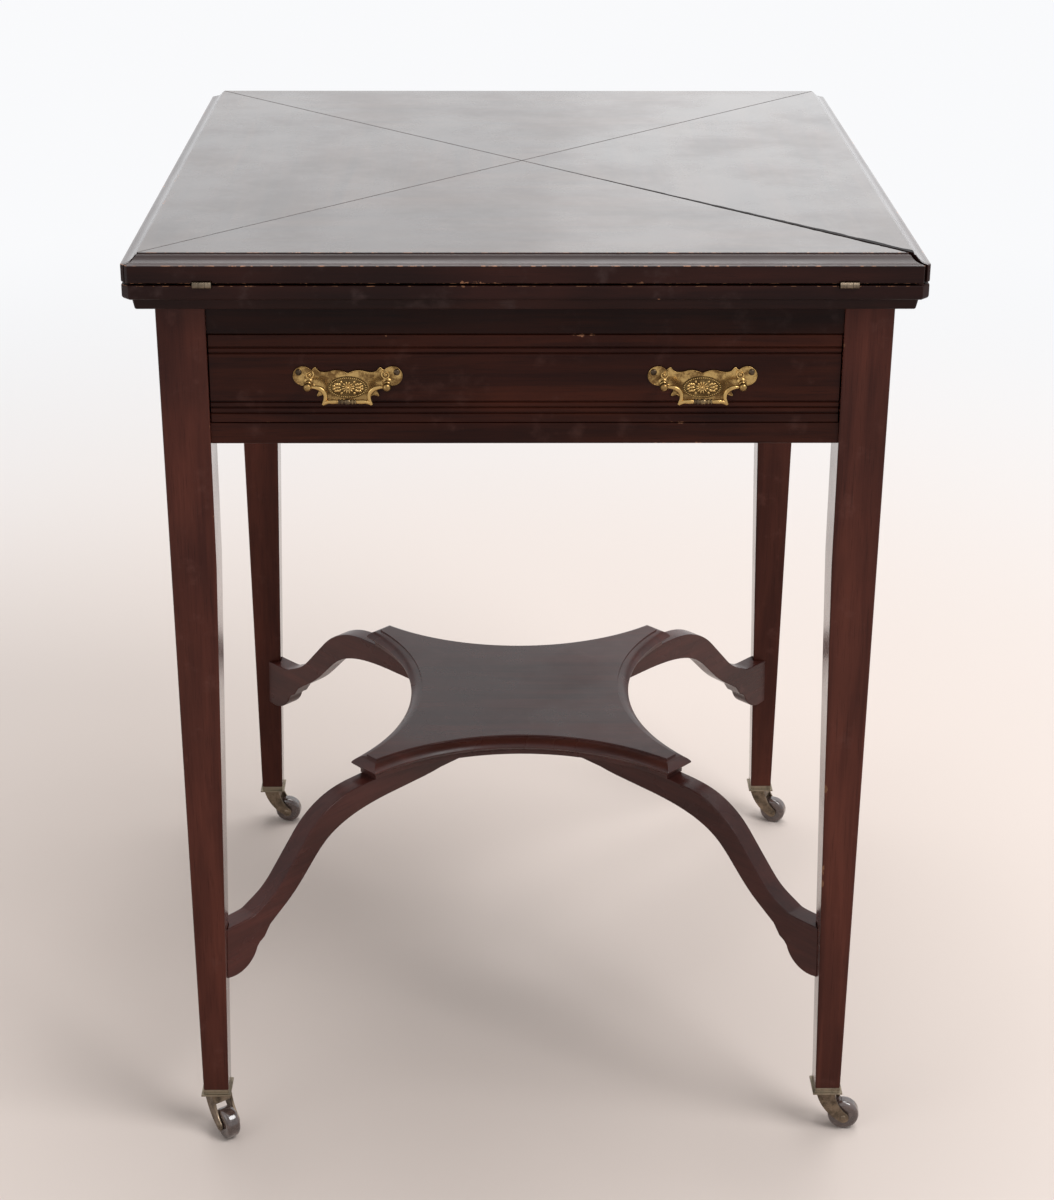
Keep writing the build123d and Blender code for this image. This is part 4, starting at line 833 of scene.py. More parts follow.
class OBJECT_OT_games_table_shelf(bpy.types.Operator):
    """Rounds and polishes the shelf and the four curved stretchers"""

    bl_idname = "object.games_table_shelf"
    bl_label = "Shelf and stretchers"

    def execute(self, context):
        wood = context.scene.games_table_wood
        tones = (wood.shelf_dark, wood.shelf_light)
        board = softened("shelf", "shelf_wood", wood.shelf_round)
        paint(board, wood_material("shelf_mahogany", tones, "x", (0.24, 0.42), shine=0.36, mottle=0.2))
        dress(board, "base", "shelf_wood", "shelf")
        for corner, (sx, sy) in CORNERS.items():
            grain = "rising" if sx == sy else "falling"
            name = "stretcher_" + corner
            finish = wood_material(
                "stretcher_mahogany_" + grain, tones, grain, (0.22, 0.38), coat=0.1, shine=0.2
            )
            stretcher = softened(name, "stretcher_wood_" + corner, wood.stretcher_round, 40.0, 3)
            paint(stretcher, finish)
            dress(stretcher, "base", "shelf_wood", name)
        return {"FINISHED"}


class OBJECT_OT_games_table_hinges(bpy.types.Operator):
    """Finishes the leaf hinges, their pins and screws, and the pivot"""

    bl_idname = "object.games_table_hinges"
    bl_label = "Hinges and pivot"

    def execute(self, context):
        metal = context.scene.games_table_metal
        hinge = metal_material("hinge_metal", (metal.hinge, scaled(metal.hinge, 0.45)), (0.35, 0.55))
        steel = metal_material("pivot_steel", (metal.steel, scaled(metal.steel, 0.6)), (0.3, 0.5))
        for name in ("bed_hinge_plates", "bed_hinge_screws", "hinge_pins"):
            finish_node(name, hinge)
        for way in WAYS:
            finish_node("leaf_" + way + "_hinges", hinge)
        for name in ("pivot_plate", "pivot_washer", "pivot_nut"):
            finish_node(name, steel)
        return {"FINISHED"}


class OBJECT_OT_games_table_cloths(bpy.types.Operator):
    """Lays the green playing cloths into the bed board and the leaves"""

    bl_idname = "object.games_table_cloths"
    bl_label = "Playing cloths"

    def execute(self, context):
        cloth = context.scene.games_table_cloth
        felt = baize_material("green_baize", cloth.baize, cloth.worn)
        bed = self.lay("bed_cloth", "bed_baize", cloth.thickness)
        self.finish(bed, felt, "top", "bed_baize", "bed_board_wood", None)
        low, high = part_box("leaf_front_baize")
        area = (high.x - low.x) * (high.y - low.y) / 2
        for way, turn in WAYS.items():
            leaf = self.lay("leaf_cloth_" + way, "leaf_front_baize", cloth.thickness)
            self.trim(leaf, low, high)
            leaf.rotation_euler = (0.0, 0.0, math.radians(turn))
            settle(leaf)
            self.finish(leaf, felt, "leaf_" + way, "leaf_" + way + "_baize", "leaf_board_" + way, area)
        return {"FINISHED"}

    def lay(self, name, node, thickness):
        # A flat grid over the node, half a thickness under its middle.
        low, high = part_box(node)
        middle = (low + high) / 2
        bpy.ops.mesh.primitive_grid_add(
            x_subdivisions=CLOTH_STEPS, y_subdivisions=CLOTH_STEPS, size=1.0,
            location=(middle.x, middle.y, middle.z - thickness / 2),
        )
        made = named(bpy.context.object, name)
        made.scale = (high.x - low.x, high.y - low.y, 1.0)
        settle(made)
        return made

    def trim(self, obj, low, high):
        # Cuts the front leaf's cloth to its triangle.
        choose(obj)
        slope = (high.x - low.x) / 2 / (high.y - low.y)
        for hand in HANDS:
            bpy.ops.object.mode_set(mode="EDIT")
            bpy.ops.mesh.select_all(action="SELECT")
            bpy.ops.mesh.bisect(
                plane_co=(0.0, high.y, low.z), plane_no=(hand, slope, 0.0), clear_outer=True
            )
            bpy.ops.object.mode_set(mode="OBJECT")

    def finish(self, obj, felt, body, node, board, area):
        cloth = bpy.context.scene.games_table_cloth
        thick = obj.modifiers.new("thickness", "SOLIDIFY")
        thick.thickness = cloth.thickness
        thick.offset = 1.0
        choose(obj)
        bpy.ops.object.modifier_apply(modifier=thick.name)
        paint(obj, felt)
        dress(obj, body, "baize", node)


# Half outline of a pull plate in millimetres, from the notch at the top of the
# middle round one lobe to the middle of the bottom edge.
PLATE_TOP = [
    (0.0, 10.2), (1.6, 11.0), (5.5, 12.3), (9.5, 12.4), (13.5, 11.4), (17.5, 11.1), (20.6, 12.0),
    (23.2, 15.1),
]
PLATE_NECK = (25.0, 12.6)
PLATE_FLARE = (28.2, 2.6)
PLATE_UNDER = [
    (24.6, 2.0), (22.0, 0.2), (20.2, -2.6), (21.9, -6.4), (18.2, -5.4), (15.6, -7.2), (13.6, -9.6),
    (9.0, -10.4), (0.0, -10.8),
]
LOBE = (31.7, 8.5, 6.9)
LOBE_STEPS = 24

# The scrolls on the lobes: millimetres, degrees and shares of the wire's radius
SCROLL = (27.2, 9.4)
SCROLL_RADIUS = 3.5
SCROLL_NARROWING = 2.9
SCROLL_EASE = 0.8
SCROLL_START = 128
SCROLL_TURN = 560
SCROLL_STEPS = 25
SCROLL_THICK = 1.15
SCROLL_THINNING = 0.45
SCROLL_RISE = 0.4

# The medallion: its raised field, its two rings and the pearl in its middle, in metres, and
# how far its beads stand out and the plate's rim is sunk, as shares of their radius
FIELD_OVER = 0.0013
FIELD_SINK = 0.0002
FIELD_DEPTH = 0.0008
GROUND_LOW = 0.00002
GROUND_HIGH = 0.00058
OVAL_RINGS = ((0.0009, 0.00042), (-0.0008, 0.00024))
OVAL_STEPS = 40
BEAD_STEPS = 720
BEAD_RISE = 0.3
RIM_SINK = 0.3
PEARL = (0.00125, 0.0012, 0.00125)
PEARL_RISE = 0.0007
PEARL_RING = 0.0019
PEARL_RING_WIRE = 0.00028
PEARL_RING_RISE = 0.0006
PEARL_RING_STEPS = 16
PETAL = (0.00125, 0.00055, 0.00062)
PETAL_RING = (0.0035, 0.0033)
LEAF_RISE = 0.0004
SCROLL_EYE = (0.00085, 0.0007, 0.00085)
SCROLL_EYE_RISE = 0.0003

# How far below and above the medallion's middle the plate's brass turns to the tarnish tone, a painted shade
# darker towards the bottom, in metres
PAINTED_SHADE_BELOW = 0.010
PAINTED_SHADE_ABOVE = 0.014

# The foliage beside the flower in millimetres: place, turn in degrees and half length
FOLIAGE = (
    (6.1, 2.3, 34, 1.6), (6.1, -2.3, -34, 1.6), (7.4, 0.0, 0, 2.3),
    (8.2, 2.5, 14, 1.8), (8.2, -2.5, -14, 1.8), (9.9, 1.1, 10, 1.3),
    (9.9, -1.1, -10, 1.3), (4.6, 4.2, 58, 1.1), (4.6, -4.2, -58, 1.1),
)
LEAF_SIZE = (0.0007, 0.00088)


def between_points(a, b, c, d, t):
    # A place between b and c on the smooth line through all four.
    curve = (2 * b, (c - a) * t, (2 * a - 5 * b + 4 * c - d) * t * t, (3 * b - a - 3 * c + d) * t ** 3)
    return 0.5 * (curve[0] + curve[1] + curve[2] + curve[3])


def rounded_run(points, steps):
    # Points along a smooth line through the given ones.
    made = []
    padded = [points[0], *points, points[-1]]
    for index in range(len(points) - 1):
        ends = list(zip(*padded[index:index + 4]))
        for step in range(steps):
            made.append(tuple(between_points(*values, step / steps) for values in ends))
    made.append(points[-1])
    return made


def plate_outline():
    top = rounded_run(PLATE_TOP, 4)
    lobe_x, lobe_z, lobe_r = LOBE
    first = math.atan2(PLATE_NECK[1] - lobe_z, PLATE_NECK[0] - lobe_x) % math.tau
    last = math.atan2(PLATE_FLARE[1] - lobe_z, PLATE_FLARE[0] - lobe_x)
    lobe = []
    for step in range(LOBE_STEPS + 1):
        angle = first + (last - first) * step / LOBE_STEPS
        lobe.append((lobe_x + lobe_r * math.cos(angle), lobe_z + lobe_r * math.sin(angle)))
    under = rounded_run(PLATE_UNDER, 3)
    right = top + lobe + under
    left = [(-x, z) for x, z in reversed(right[1:-1])]
    return right + left


class OBJECT_OT_games_table_plates(bpy.types.Operator):
    """Builds the pressed brass plates with their medallions, beads and scrolls"""

    bl_idname = "object.games_table_plates"
    bl_label = "Pull plates"

    def execute(self, context):
        settings = context.scene.games_table_pulls
        metal = context.scene.games_table_metal
        # The plate's brass gets a painted shade, darker below the medallion.
        aged = (pull_middle() - PAINTED_SHADE_BELOW, pull_middle() + PAINTED_SHADE_ABOVE)
        brass = metal_material(
            "pull_brass", (metal.brass, metal.tarnish), (0.20, 0.40), spread=(0.42, 0.60), scale=110.0,
            scratch=0.2, low=aged,
        )
        dull = metal_material(
            "pull_brass_hollows", (scaled(metal.brass, 0.42), scaled(metal.tarnish, 0.5)), (0.3, 0.5),
            spread=(0.35, 0.62), scale=120.0,
        )
        bright = metal_material(
            "pull_brass_high", (scaled(metal.brass, 1.25), metal.brass), (0.16, 0.32),
            spread=(0.40, 0.70), scale=160.0, scratch=0.1,
        )
        for side, bail in PULLS.items():
            place = Vector((node_centre(bail).x, -FRONT_FACE, pull_middle()))
            pieces = [*self.plate(place, settings), *self.medallion(place, settings)]
            pieces.extend(self.scrolls(place, settings))
            made = join(pieces, "pull_plate_" + side)
            tidy_mesh(made, PLATE_MERGE)
            paint(made, brass, dull, bright)
            zone(made, 2, lambda middle, normal: place.y - middle.y - settings.plate > GROUND_HIGH)
            zone(made, 1, lambda middle, normal: self.ground(middle - place, settings))
            smooth(made, 42.0)
            dress(made, "drawer", "pull_brass", "pull_plates")
        return {"FINISHED"}

    def ground(self, spot, settings):
        # The sunk ground of the oval, between the flower and the bead ring.
        across = spot.x / (settings.oval_long + FIELD_OVER)
        up = spot.z / (settings.oval_high + FIELD_OVER)
        return math.hypot(across, up) < 1.0 and GROUND_LOW < -spot.y - settings.plate < GROUND_HIGH

    def plate(self, place, settings):
        outline = plate_outline()
        bpy.ops.mesh.primitive_circle_add(vertices=len(outline), radius=1.0, fill_type="NGON")
        made = bpy.context.object
        made.location = (0, 0, 0)
        for vertex, (x, z) in zip(made.data.vertices, outline):
            vertex.co = (place.x + x * MM, place.y, place.z + z * MM)
        choose(made)
        bpy.ops.object.mode_set(mode="EDIT")
        bpy.ops.mesh.select_all(action="SELECT")
        bpy.ops.mesh.extrude_region_move(TRANSFORM_OT_translate={"value": (0.0, -settings.plate, 0.0)})
        bpy.ops.mesh.select_all(action="SELECT")
        bpy.ops.mesh.quads_convert_to_tris(ngon_method="BEAUTY")
        bpy.ops.mesh.normals_make_consistent(inside=False)
        bpy.ops.object.mode_set(mode="OBJECT")
        level = place.y - settings.plate + settings.rim * RIM_SINK
        edge = [(place.x + x * MM, level, place.z + z * MM) for x, z in outline]
        return made, wire(edge, settings.rim, "plate_rim", True, 2, 3)

    def medallion(self, place, settings):
        face = place.y - settings.plate
        size = (settings.oval_long + FIELD_OVER, FIELD_DEPTH, settings.oval_high + FIELD_OVER)
        made = [ball((place.x, face + FIELD_SINK, place.z), size, "field", 48, 24)]
        for grow, radius in OVAL_RINGS:
            points = []
            for step in range(OVAL_STEPS):
                angle = math.tau * step / OVAL_STEPS
                points.append((
                    place.x + (settings.oval_long + grow) * math.cos(angle), face,
                    place.z + (settings.oval_high + grow) * math.sin(angle),
                ))
            made.append(wire(points, radius, "oval", True, 3, 2))
        made.extend(self.beads(place, face, settings))
        made.extend(self.flower(place, face, settings))
        return made

    def beads(self, place, face, settings):
        # Evenly spaced along the oval, not evenly by angle.
        walk = [0.0]
        last = None
        for step in range(BEAD_STEPS + 1):
            angle = math.tau * step / BEAD_STEPS
            point = Vector((settings.oval_long * math.cos(angle), settings.oval_high * math.sin(angle)))
            if last is not None:
                walk.append(walk[-1] + (point - last).length)
            last = point
        first = ball((0, 0, 0), (settings.bead,) * 3, "bead", 8, 6)
        made = [first]
        target = 0
        for index in range(settings.beads):
            wanted = walk[-1] * index / settings.beads
            while walk[target] < wanted:
                target += 1
            angle = math.tau * target / BEAD_STEPS
            spot = Vector((
                place.x + settings.oval_long * math.cos(angle), face - settings.bead * BEAD_RISE,
                place.z + settings.oval_high * math.sin(angle),
            ))
            if index == 0:
                first.data.transform(Matrix.Translation(spot))
                home = spot
            else:
                copy = first.copy()
                copy.data = first.data.copy()
                copy.data.transform(Matrix.Translation(spot - home))
                bpy.context.scene.collection.objects.link(copy)
                made.append(copy)
        return made

    def flower(self, place, face, settings):
        made = [ball((place.x, face - PEARL_RISE, place.z), PEARL, "pearl", 16, 10)]
        ring = []
        for step in range(PEARL_RING_STEPS):
            angle = math.tau * step / PEARL_RING_STEPS
            ring.append((
                place.x + PEARL_RING * math.cos(angle), face - PEARL_RING_RISE,
                place.z + PEARL_RING * math.sin(angle),
            ))
        made.append(wire(ring, PEARL_RING_WIRE, "pearl_ring", True, 3, 2))
        for index in range(settings.petals):
            angle = math.tau * (index + 0.5) / settings.petals
            petal = ball((0, 0, 0), PETAL, "petal", 10, 6)
            spot = Vector((
                place.x + PETAL_RING[0] * math.cos(angle), face - PETAL[1],
                place.z + PETAL_RING[1] * math.sin(angle),
            ))
            petal.data.transform(Matrix.Translation(spot) @ Matrix.Rotation(-angle, 4, "Y"))
            made.append(petal)
        for hand in HANDS:
            for x, z, turn, half in FOLIAGE:
                leaf = ball((0, 0, 0), (half * MM, *LEAF_SIZE), "leaf_lobe", 12, 8)
                rotate = Matrix.Rotation(-math.radians(turn), 4, "Y")
                mirror = Matrix.Diagonal((hand, 1.0, 1.0, 1.0))
                move = Matrix.Translation((place.x + hand * x * MM, face - LEAF_RISE, place.z + z * MM))
                leaf.data.transform(move @ mirror @ rotate)
                if hand < 0:
                    leaf.data.flip_normals()
                made.append(leaf)
        return made

    def scrolls(self, place, settings):
        made = []
        face = place.y - settings.plate
        for hand in HANDS:
            points = []
            for step in range(SCROLL_STEPS + 1):
                share = step / SCROLL_STEPS
                angle = math.radians(SCROLL_START + SCROLL_TURN * share)
                radius = SCROLL_RADIUS - SCROLL_NARROWING * share ** SCROLL_EASE
                x = SCROLL[0] + radius * math.cos(angle)
                z = SCROLL[1] + radius * math.sin(angle)
                points.append((
                    place.x + hand * x * MM, face - settings.scroll * SCROLL_RISE, place.z + z * MM,
                    SCROLL_THICK - SCROLL_THINNING * share,
                ))
            made.append(wire(points, settings.scroll, "scroll", False, 4, 2))
            eye = (place.x + hand * SCROLL[0] * MM, face - SCROLL_EYE_RISE, place.z + SCROLL[1] * MM)
            made.append(ball(eye, SCROLL_EYE, "scroll_eye", 12, 8))
        return made


def pull_middle():
    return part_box("pull_plates")[1].z - (LOBE[1] + LOBE[2]) * MM


# The posts in metres: a lathe profile of (along, radius) up to the ball on the end
POST_SPREAD = 0.028
POST_PROFILE = [
    (0.0006, 0.0), (0.0006, 0.0036), (0.0014, 0.0036), (0.0019, 0.0031), (0.0024, 0.0023), (0.0038, 0.0018),
    (0.0049, 0.0019), (0.0054, 0.0026), (0.0060, 0.0029), (0.0066, 0.0026), (0.0070, 0.0020),
]
POST_BALL = 0.0032
POST_BALL_START = 38
POST_BALL_STEPS = 8
NUT_RADIUS = 0.0038
NUT_HEIGHT = 0.0020
NUT_ROUND = 0.0003
SHANK_END = (0.0015, 0.0008, 0.0015)
SHANK_END_RISE = 0.0021

# The domed pins in metres
PIN_HEAD = (0.0023, 0.0013, 0.0023)
PIN_SPREAD = 0.0348
PIN_LIFT = 0.0113
PIN_SINK = 0.0012


class OBJECT_OT_games_table_posts(bpy.types.Operator):
    """Turns the posts with their ball ends, the inner nuts and the domed pins"""

    bl_idname = "object.games_table_posts"
    bl_label = "Pull posts and pins"

    def execute(self, context):
        metal = context.scene.games_table_metal
        tones = (scaled(metal.brass, 0.72), scaled(metal.tarnish, 1.1))
        aged = metal_material("post_brass", tones, (0.22, 0.42), spread=(0.40, 0.64), scale=160.0)
        dark = metal_material("pin_brass", (metal.pin, scaled(metal.pin, 0.5)), (0.22, 0.4))
        swing = part_axis("bail_left_swing")[0]
        profile = self.profile(-swing.y - FRONT_FACE)
        for side, bail in PULLS.items():
            middle = node_centre(bail).x
            pieces = []
            for hand in HANDS:
                start = Vector((middle + hand * POST_SPREAD, -FRONT_FACE, swing.z))
                pieces.append(turned(profile, 24, "post", start, Vector((0, -1, 0)), Vector((0, 0, 1))))
                pieces.extend(self.nut(start))
            made = join(pieces, "pull_posts_" + side)
            paint(made, aged)
            smooth(made)
            dress(made, "drawer", "pull_brass", "pull_posts")
            level = Vector((middle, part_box("pull_pins")[0].y + PIN_SINK, pull_middle() + PIN_LIFT))
            spread = Vector((PIN_SPREAD, 0, 0))
            heads = [ball(level + spread * hand, PIN_HEAD, "pin", 20, 12) for hand in HANDS]
            pins = join(heads, "pull_pins_" + side)
            paint(pins, dark)
            smooth(pins, 60.0)
            dress(pins, "drawer", "pin_brass", "pull_pins")
        return {"FINISHED"}

    def profile(self, reach):
        made = list(POST_PROFILE)
        for step in range(POST_BALL_STEPS + 1):
            angle = math.radians(POST_BALL_START + (180 - POST_BALL_START) * step / POST_BALL_STEPS)
            made.append((reach - POST_BALL * math.cos(angle), max(0.0, POST_BALL * math.sin(angle))))
        return made

    def nut(self, start):
        # The nut inside the drawer and the end of the shank that shows in it.
        bpy.ops.mesh.primitive_cylinder_add(
            vertices=6, radius=NUT_RADIUS, depth=NUT_HEIGHT,
            location=(start.x, DRAWER_INNER + NUT_HEIGHT / 2, start.z), rotation=(math.radians(90), 0, 0),
        )
        made = bpy.context.object
        settle(made)
        bevel = made.modifiers.new("round", "BEVEL")
        bevel.width = NUT_ROUND
        bevel.segments = 2
        bpy.ops.object.modifier_apply(modifier=bevel.name)
        return made, ball((start.x, DRAWER_INNER + SHANK_END_RISE, start.z), SHANK_END, "tip", 12, 8)


# The bails in millimetres: half arms of (across, up, share of the wire) from the
# post down, and a grip of (along, radius) whose other half is its mirror image
BAIL_WIRE = 1.6
BAIL_ARM = [
    (27.0, 0.0, 0.62), (24.2, 0.0, 0.66), (22.4, -0.1, 0.95), (19.6, -0.7, 1.15), (17.0, -2.6, 1.18),
    (15.4, -5.4, 1.05), (15.3, -8.3, 0.95), (16.2, -10.9, 0.86), (17.3, -13.0, 0.62),
]
BAIL_FOOT = [(17.3, -13.0, 0.62), (15.9, -12.0, 0.85), (14.2, -11.0, 0.95), (12.4, -10.9, 0.9)]
GRIP_DROP = 10.9
GRIP_HALF = [
    (-14.0, 1.1), (-12.5, 1.5), (-10.2, 1.75), (-7.6, 1.6), (-6.6, 1.4), (-6.3, 1.95), (-5.5, 1.95),
    (-5.2, 1.3), (-4.6, 1.3), (-4.3, 2.0), (-3.1, 2.0), (-2.8, 1.4), (-2.1, 1.4), (-1.8, 1.8), (-1.2, 2.1),
]
RINGS_REACH = 6.6
RINGS_DROP = 8.0


class OBJECT_OT_games_table_bails(bpy.types.Operator):
    """Forms the bails: two shaped arms and a grip with turned rings"""

    bl_idname = "object.games_table_bails"
    bl_label = "Pull bails"

    def execute(self, context):
        metal = context.scene.games_table_metal
        brass = metal_material(
            "bail_brass", (metal.brass, scaled(metal.tarnish, 1.3)), (0.18, 0.38),
            spread=(0.48, 0.80), scale=110.0,
        )
        dark = metal_material("grip_ring_metal", (scaled(metal.brass, 0.42, 0.03), metal.pin), (0.2, 0.4))
        grip = [*GRIP_HALF, *((-x, radius) for x, radius in reversed(GRIP_HALF))]
        profile = [(x * MM, radius * MM) for x, radius in ((grip[0][0], 0.0), *grip, (grip[-1][0], 0.0))]
        for bail in PULLS.values():
            origin = part_axis(bail + "_swing")[0]
            pieces = []
            for hand in HANDS:
                for run in (BAIL_ARM, BAIL_FOOT):
                    points = [
                        (origin.x + hand * x * MM, origin.y, origin.z + z * MM, share) for x, z, share in run
                    ]
                    pieces.append(wire(points, BAIL_WIRE * MM, "arm", False, 5, 3))
            start = Vector((origin.x, origin.y, origin.z - GRIP_DROP * MM))
            pieces.append(turned(profile, 20, "grip", start, Vector((1, 0, 0)), Vector((0, 0, 1))))
            made = join(pieces, bail + "_wire")
            paint(made, brass, dark)
            reach, low = RINGS_REACH * MM, origin.z - RINGS_DROP * MM
            zone(made, 1, lambda spot, normal: abs(spot.x - start.x) < reach and spot.z < low)
            smooth(made)
            dress(made, bail, "pull_brass", bail)
        return {"FINISHED"}


# The domed rivets on the casters' axles, in metres
RIVET_REACH = 0.0087
RIVET_RISE = 0.0008


class OBJECT_OT_games_table_casters(bpy.types.Operator):
    """Finishes the caster plates, horns, rivets and glazed wheels"""

    bl_idname = "object.games_table_casters"
    bl_label = "Casters"

    def execute(self, context):
        metal = context.scene.games_table_metal
        plate = metal_material(
            "caster_brass", (metal.caster, scaled(metal.caster, 0.5)), (0.30, 0.5),
            spread=(0.42, 0.70), scale=90.0,
        )
        horn_metal = metal_material(
            "horn_brass", (metal.horn, scaled(metal.horn, 0.35)), (0.32, 0.55),
            spread=(0.38, 0.66), scale=120.0,
        )
        glaze = glaze_material("brown_glaze", metal.glaze)
        plates = softened("caster_plates", "caster_plate_set", metal.plate_round)
        paint(plates, plate)
        dress(plates, "base", "caster_brass", "caster_plates")
        for corner in CORNERS:
            finish_node("caster_wheel_" + corner, glaze)
            name = "caster_horn_" + corner
            horn = softened(name, "horn_" + corner, metal.horn_round, 40.0)
            made = join([horn, *self.rivets(corner, metal.rivet)], "horn_" + corner)
            paint(made, horn_metal)
            smooth(made)
            dress(made, "caster_" + corner, "caster_brass", name)
        return {"FINISHED"}

    def rivets(self, corner, radius):
        centre, axis = part_axis("wheel_" + corner + "_roll")
        turn = axis.to_track_quat("Z", "Y").to_matrix().to_4x4()
        made = []
        for hand in HANDS:
            head = ball((0, 0, 0), (radius, radius, RIVET_RISE), "rivet", 16, 8)
            head.data.transform(Matrix.Translation(centre + axis * hand * RIVET_REACH) @ turn)
            made.append(head)
        return made


# The camera that was fitted to the photograph: degrees, metres, shares of the frame, and
# millimetres for its sensor
CAMERA_PITCH = 20.085
CAMERA_YAW = 0.498
CAMERA_ROLL = 0.141
CAMERA_PLACE = (-0.020794, -1.786105, 1.172971)
CAMERA_SHIFT = (0.01038, -0.15027)
CAMERA_RANGE = (0.05, 100.0)
SENSOR = 36.0

# Each lamp's place, the height that it is turned to, and its width, in metres
LAMPS = {
    "key": ((1.7, -1.2, 2.8), 0.45, 1.6),
    "fill": ((-2.2, -1.6, 1.5), 0.45, 1.8),
    "over": ((0.2, 0.6, 2.9), 0.5, 2.4),
    "behind": ((1.5, 3.6, 2.0), 0.6, 3.0),
}
FLOOR_SIZE = 40.0

# Distances from the table's middle over which the floor pales and then glows, in metres
FLOOR_PALES = (0.35, 2.6)
FLOOR_GLOWS = (0.9, 2.6)


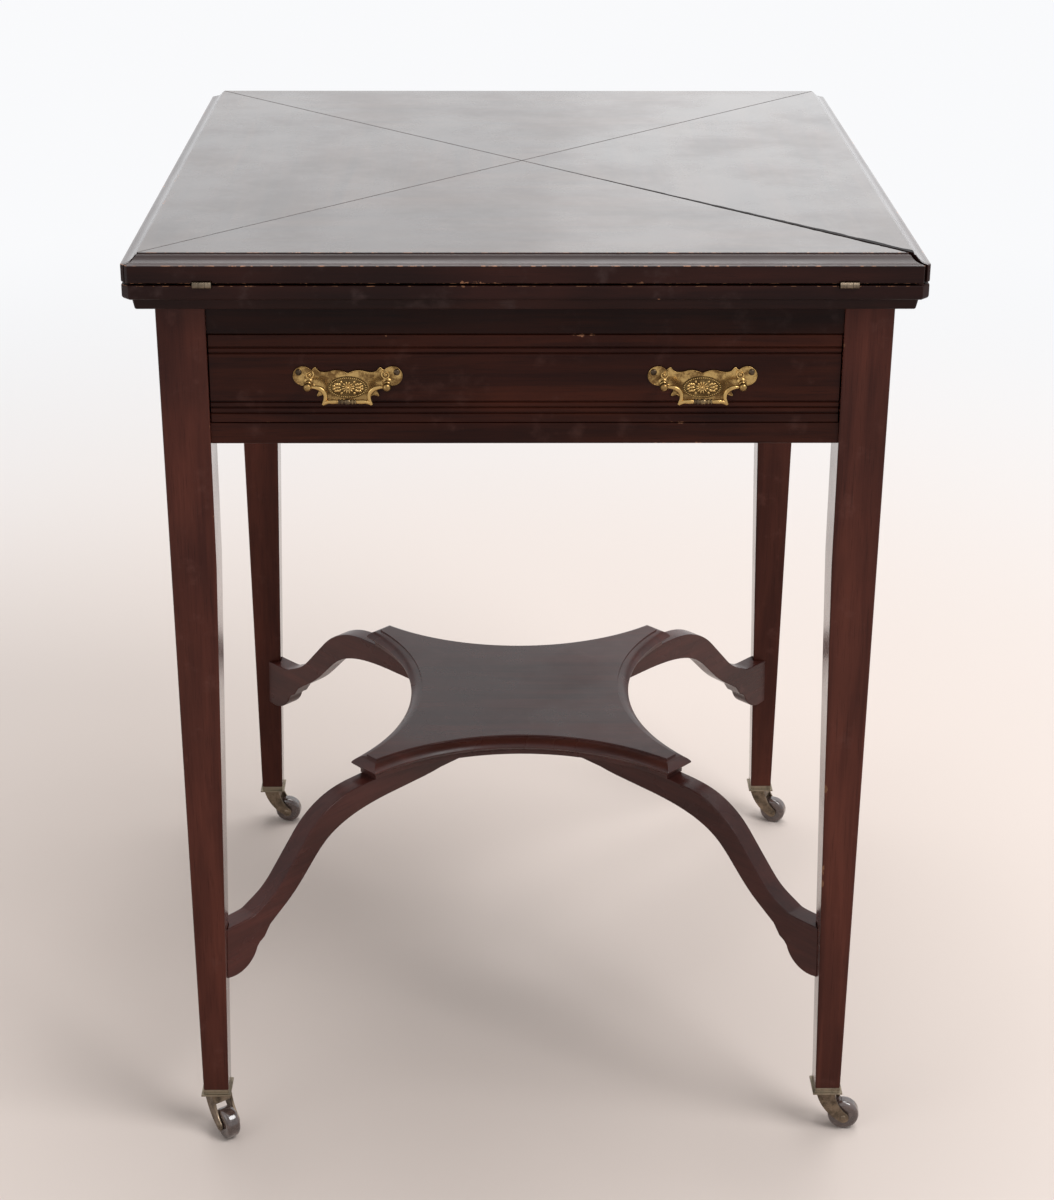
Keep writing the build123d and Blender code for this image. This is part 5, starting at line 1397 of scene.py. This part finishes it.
class OBJECT_OT_games_table_stage(bpy.types.Operator):
    """Sets the floor, the soft lights, the background and the camera"""

    bl_idname = "object.games_table_stage"
    bl_label = "Stage and camera"

    def execute(self, context):
        stage = context.scene.games_table_stage
        self.camera(context, stage)
        self.floor(stage)
        self.world(context, stage)
        for name, (place, height, size) in LAMPS.items():
            self.lamp(name + "_light", place, (0.0, 0.0, height), size, getattr(stage, name))
        context.scene.view_settings.view_transform = "Standard"
        return {"FINISHED"}

    def camera(self, context, stage):
        data = bpy.data.cameras.new("photo_camera")
        camera = bpy.data.objects.new("photo_camera", data)
        context.scene.collection.objects.link(camera)
        pitch, yaw, roll = (math.radians(value) for value in (CAMERA_PITCH, CAMERA_YAW, CAMERA_ROLL))
        level = Vector((math.sin(yaw), math.cos(yaw), 0.0))
        ahead = level * math.cos(pitch) - Vector((0.0, 0.0, math.sin(pitch)))
        right = Vector((math.cos(yaw), -math.sin(yaw), 0.0))
        up = right.cross(ahead)
        right_rolled = right * math.cos(roll) + up * math.sin(roll)
        up_rolled = up * math.cos(roll) - right * math.sin(roll)
        turn = Matrix((right_rolled, up_rolled, -ahead)).transposed().to_4x4()
        camera.matrix_world = Matrix.Translation(CAMERA_PLACE) @ turn
        data.sensor_fit = "VERTICAL"
        data.sensor_height = SENSOR
        data.sensor_width = SENSOR
        data.lens = stage.lens
        data.shift_x, data.shift_y = CAMERA_SHIFT
        data.clip_start, data.clip_end = CAMERA_RANGE
        context.scene.camera = camera

    def floor(self, stage):
        bpy.ops.mesh.primitive_plane_add(size=FLOOR_SIZE, location=(0.0, 0.0, 0.0))
        floor = named(bpy.context.object, "floor")
        material, tree, shader = new_material("plain_floor")
        off = add(tree, "VectorMath", {0: place_of(tree)}, operation="LENGTH").outputs["Value"]
        tone = blend(tree, ramp(tree, off, *FLOOR_PALES), stage.floor, stage.distance)
        put(tree, shader.inputs["Base Color"], tone)
        shader.inputs["Roughness"].default_value = 0.9
        shader.inputs["Specular IOR Level"].default_value = 0.1
        glow = tree.nodes.new("ShaderNodeEmission")
        glow.inputs["Color"].default_value = (*stage.sky, 1.0)
        seen = times(tree, seen_rays(tree), ramp(tree, off, *FLOOR_GLOWS))
        surface = shader.outputs[0].links[0].to_socket
        tree.links.new(mix_shaders(tree, seen, shader.outputs[0], glow.outputs[0]), surface)
        paint(floor, material)

    def world(self, context, stage):
        world = bpy.data.worlds.new("soft_studio")
        context.scene.world = world
        world.use_nodes = True
        tree = world.node_tree
        tree.nodes.clear()
        light = tree.nodes.new("ShaderNodeBackground")
        light.inputs["Color"].default_value = (1.0, 1.0, 1.0, 1.0)
        light.inputs["Strength"].default_value = stage.ambient
        sky = tree.nodes.new("ShaderNodeBackground")
        sky.inputs["Color"].default_value = (*stage.sky, 1.0)
        sky.inputs["Strength"].default_value = 1.0
        out = tree.nodes.new("ShaderNodeOutputWorld")
        tree.links.new(mix_shaders(tree, seen_rays(tree), light.outputs[0], sky.outputs[0]), out.inputs[0])

    def lamp(self, name, place, target, size, watts):
        data = bpy.data.lights.new(name, "AREA")
        data.energy = watts
        data.shape = "DISK"
        data.size = size
        lamp = bpy.data.objects.new(name, data)
        bpy.context.scene.collection.objects.link(lamp)
        lamp.location = place
        lamp.rotation_mode = "QUATERNION"
        lamp.rotation_quaternion = (Vector(target) - Vector(place)).to_track_quat("-Z", "Y")
        lamp.visible_camera = False


OPERATORS = (
    OBJECT_OT_games_table_stage,
    OBJECT_OT_games_table_boards,
    OBJECT_OT_games_table_frame,
    OBJECT_OT_games_table_shelf,
    OBJECT_OT_games_table_hinges,
    OBJECT_OT_games_table_cloths,
    OBJECT_OT_games_table_plates,
    OBJECT_OT_games_table_posts,
    OBJECT_OT_games_table_bails,
    OBJECT_OT_games_table_casters,
)
GROUPS = {
    "games_table_wood": GamesTableWood,
    "games_table_metal": GamesTableMetal,
    "games_table_cloth": GamesTableCloth,
    "games_table_pulls": GamesTablePulls,
    "games_table_stage": GamesTableStage,
}


class VIEW3D_PT_games_table(bpy.types.Panel):
    """Lists the pieces of the games table and their settings"""

    bl_label = "Games table"
    bl_space_type = "VIEW_3D"
    bl_region_type = "UI"
    bl_category = "Games table"

    def draw(self, context):
        for operator in OPERATORS:
            self.layout.operator(operator.bl_idname)
        for name, group in GROUPS.items():
            box = self.layout.box()
            for key in group.__annotations__:
                box.prop(getattr(context.scene, name), key)


def register():
    for group in GROUPS.values():
        bpy.utils.register_class(group)
    for name, group in GROUPS.items():
        setattr(bpy.types.Scene, name, PointerProperty(type=group))
    for operator in OPERATORS:
        bpy.utils.register_class(operator)
    bpy.utils.register_class(VIEW3D_PT_games_table)


def unregister():
    bpy.utils.unregister_class(VIEW3D_PT_games_table)
    for operator in reversed(OPERATORS):
        bpy.utils.unregister_class(operator)
    for name, group in reversed(list(GROUPS.items())):
        delattr(bpy.types.Scene, name)
        bpy.utils.unregister_class(group)


def main():
    register()
    bpy.ops.object.games_table_stage()
    bpy.ops.object.games_table_boards()
    bpy.ops.object.games_table_frame()
    bpy.ops.object.games_table_shelf()
    bpy.ops.object.games_table_hinges()
    bpy.ops.object.games_table_cloths()
    bpy.ops.object.games_table_plates()
    bpy.ops.object.games_table_posts()
    bpy.ops.object.games_table_bails()
    bpy.ops.object.games_table_casters()
    deselect()


if __name__ == "__main__":
    main()
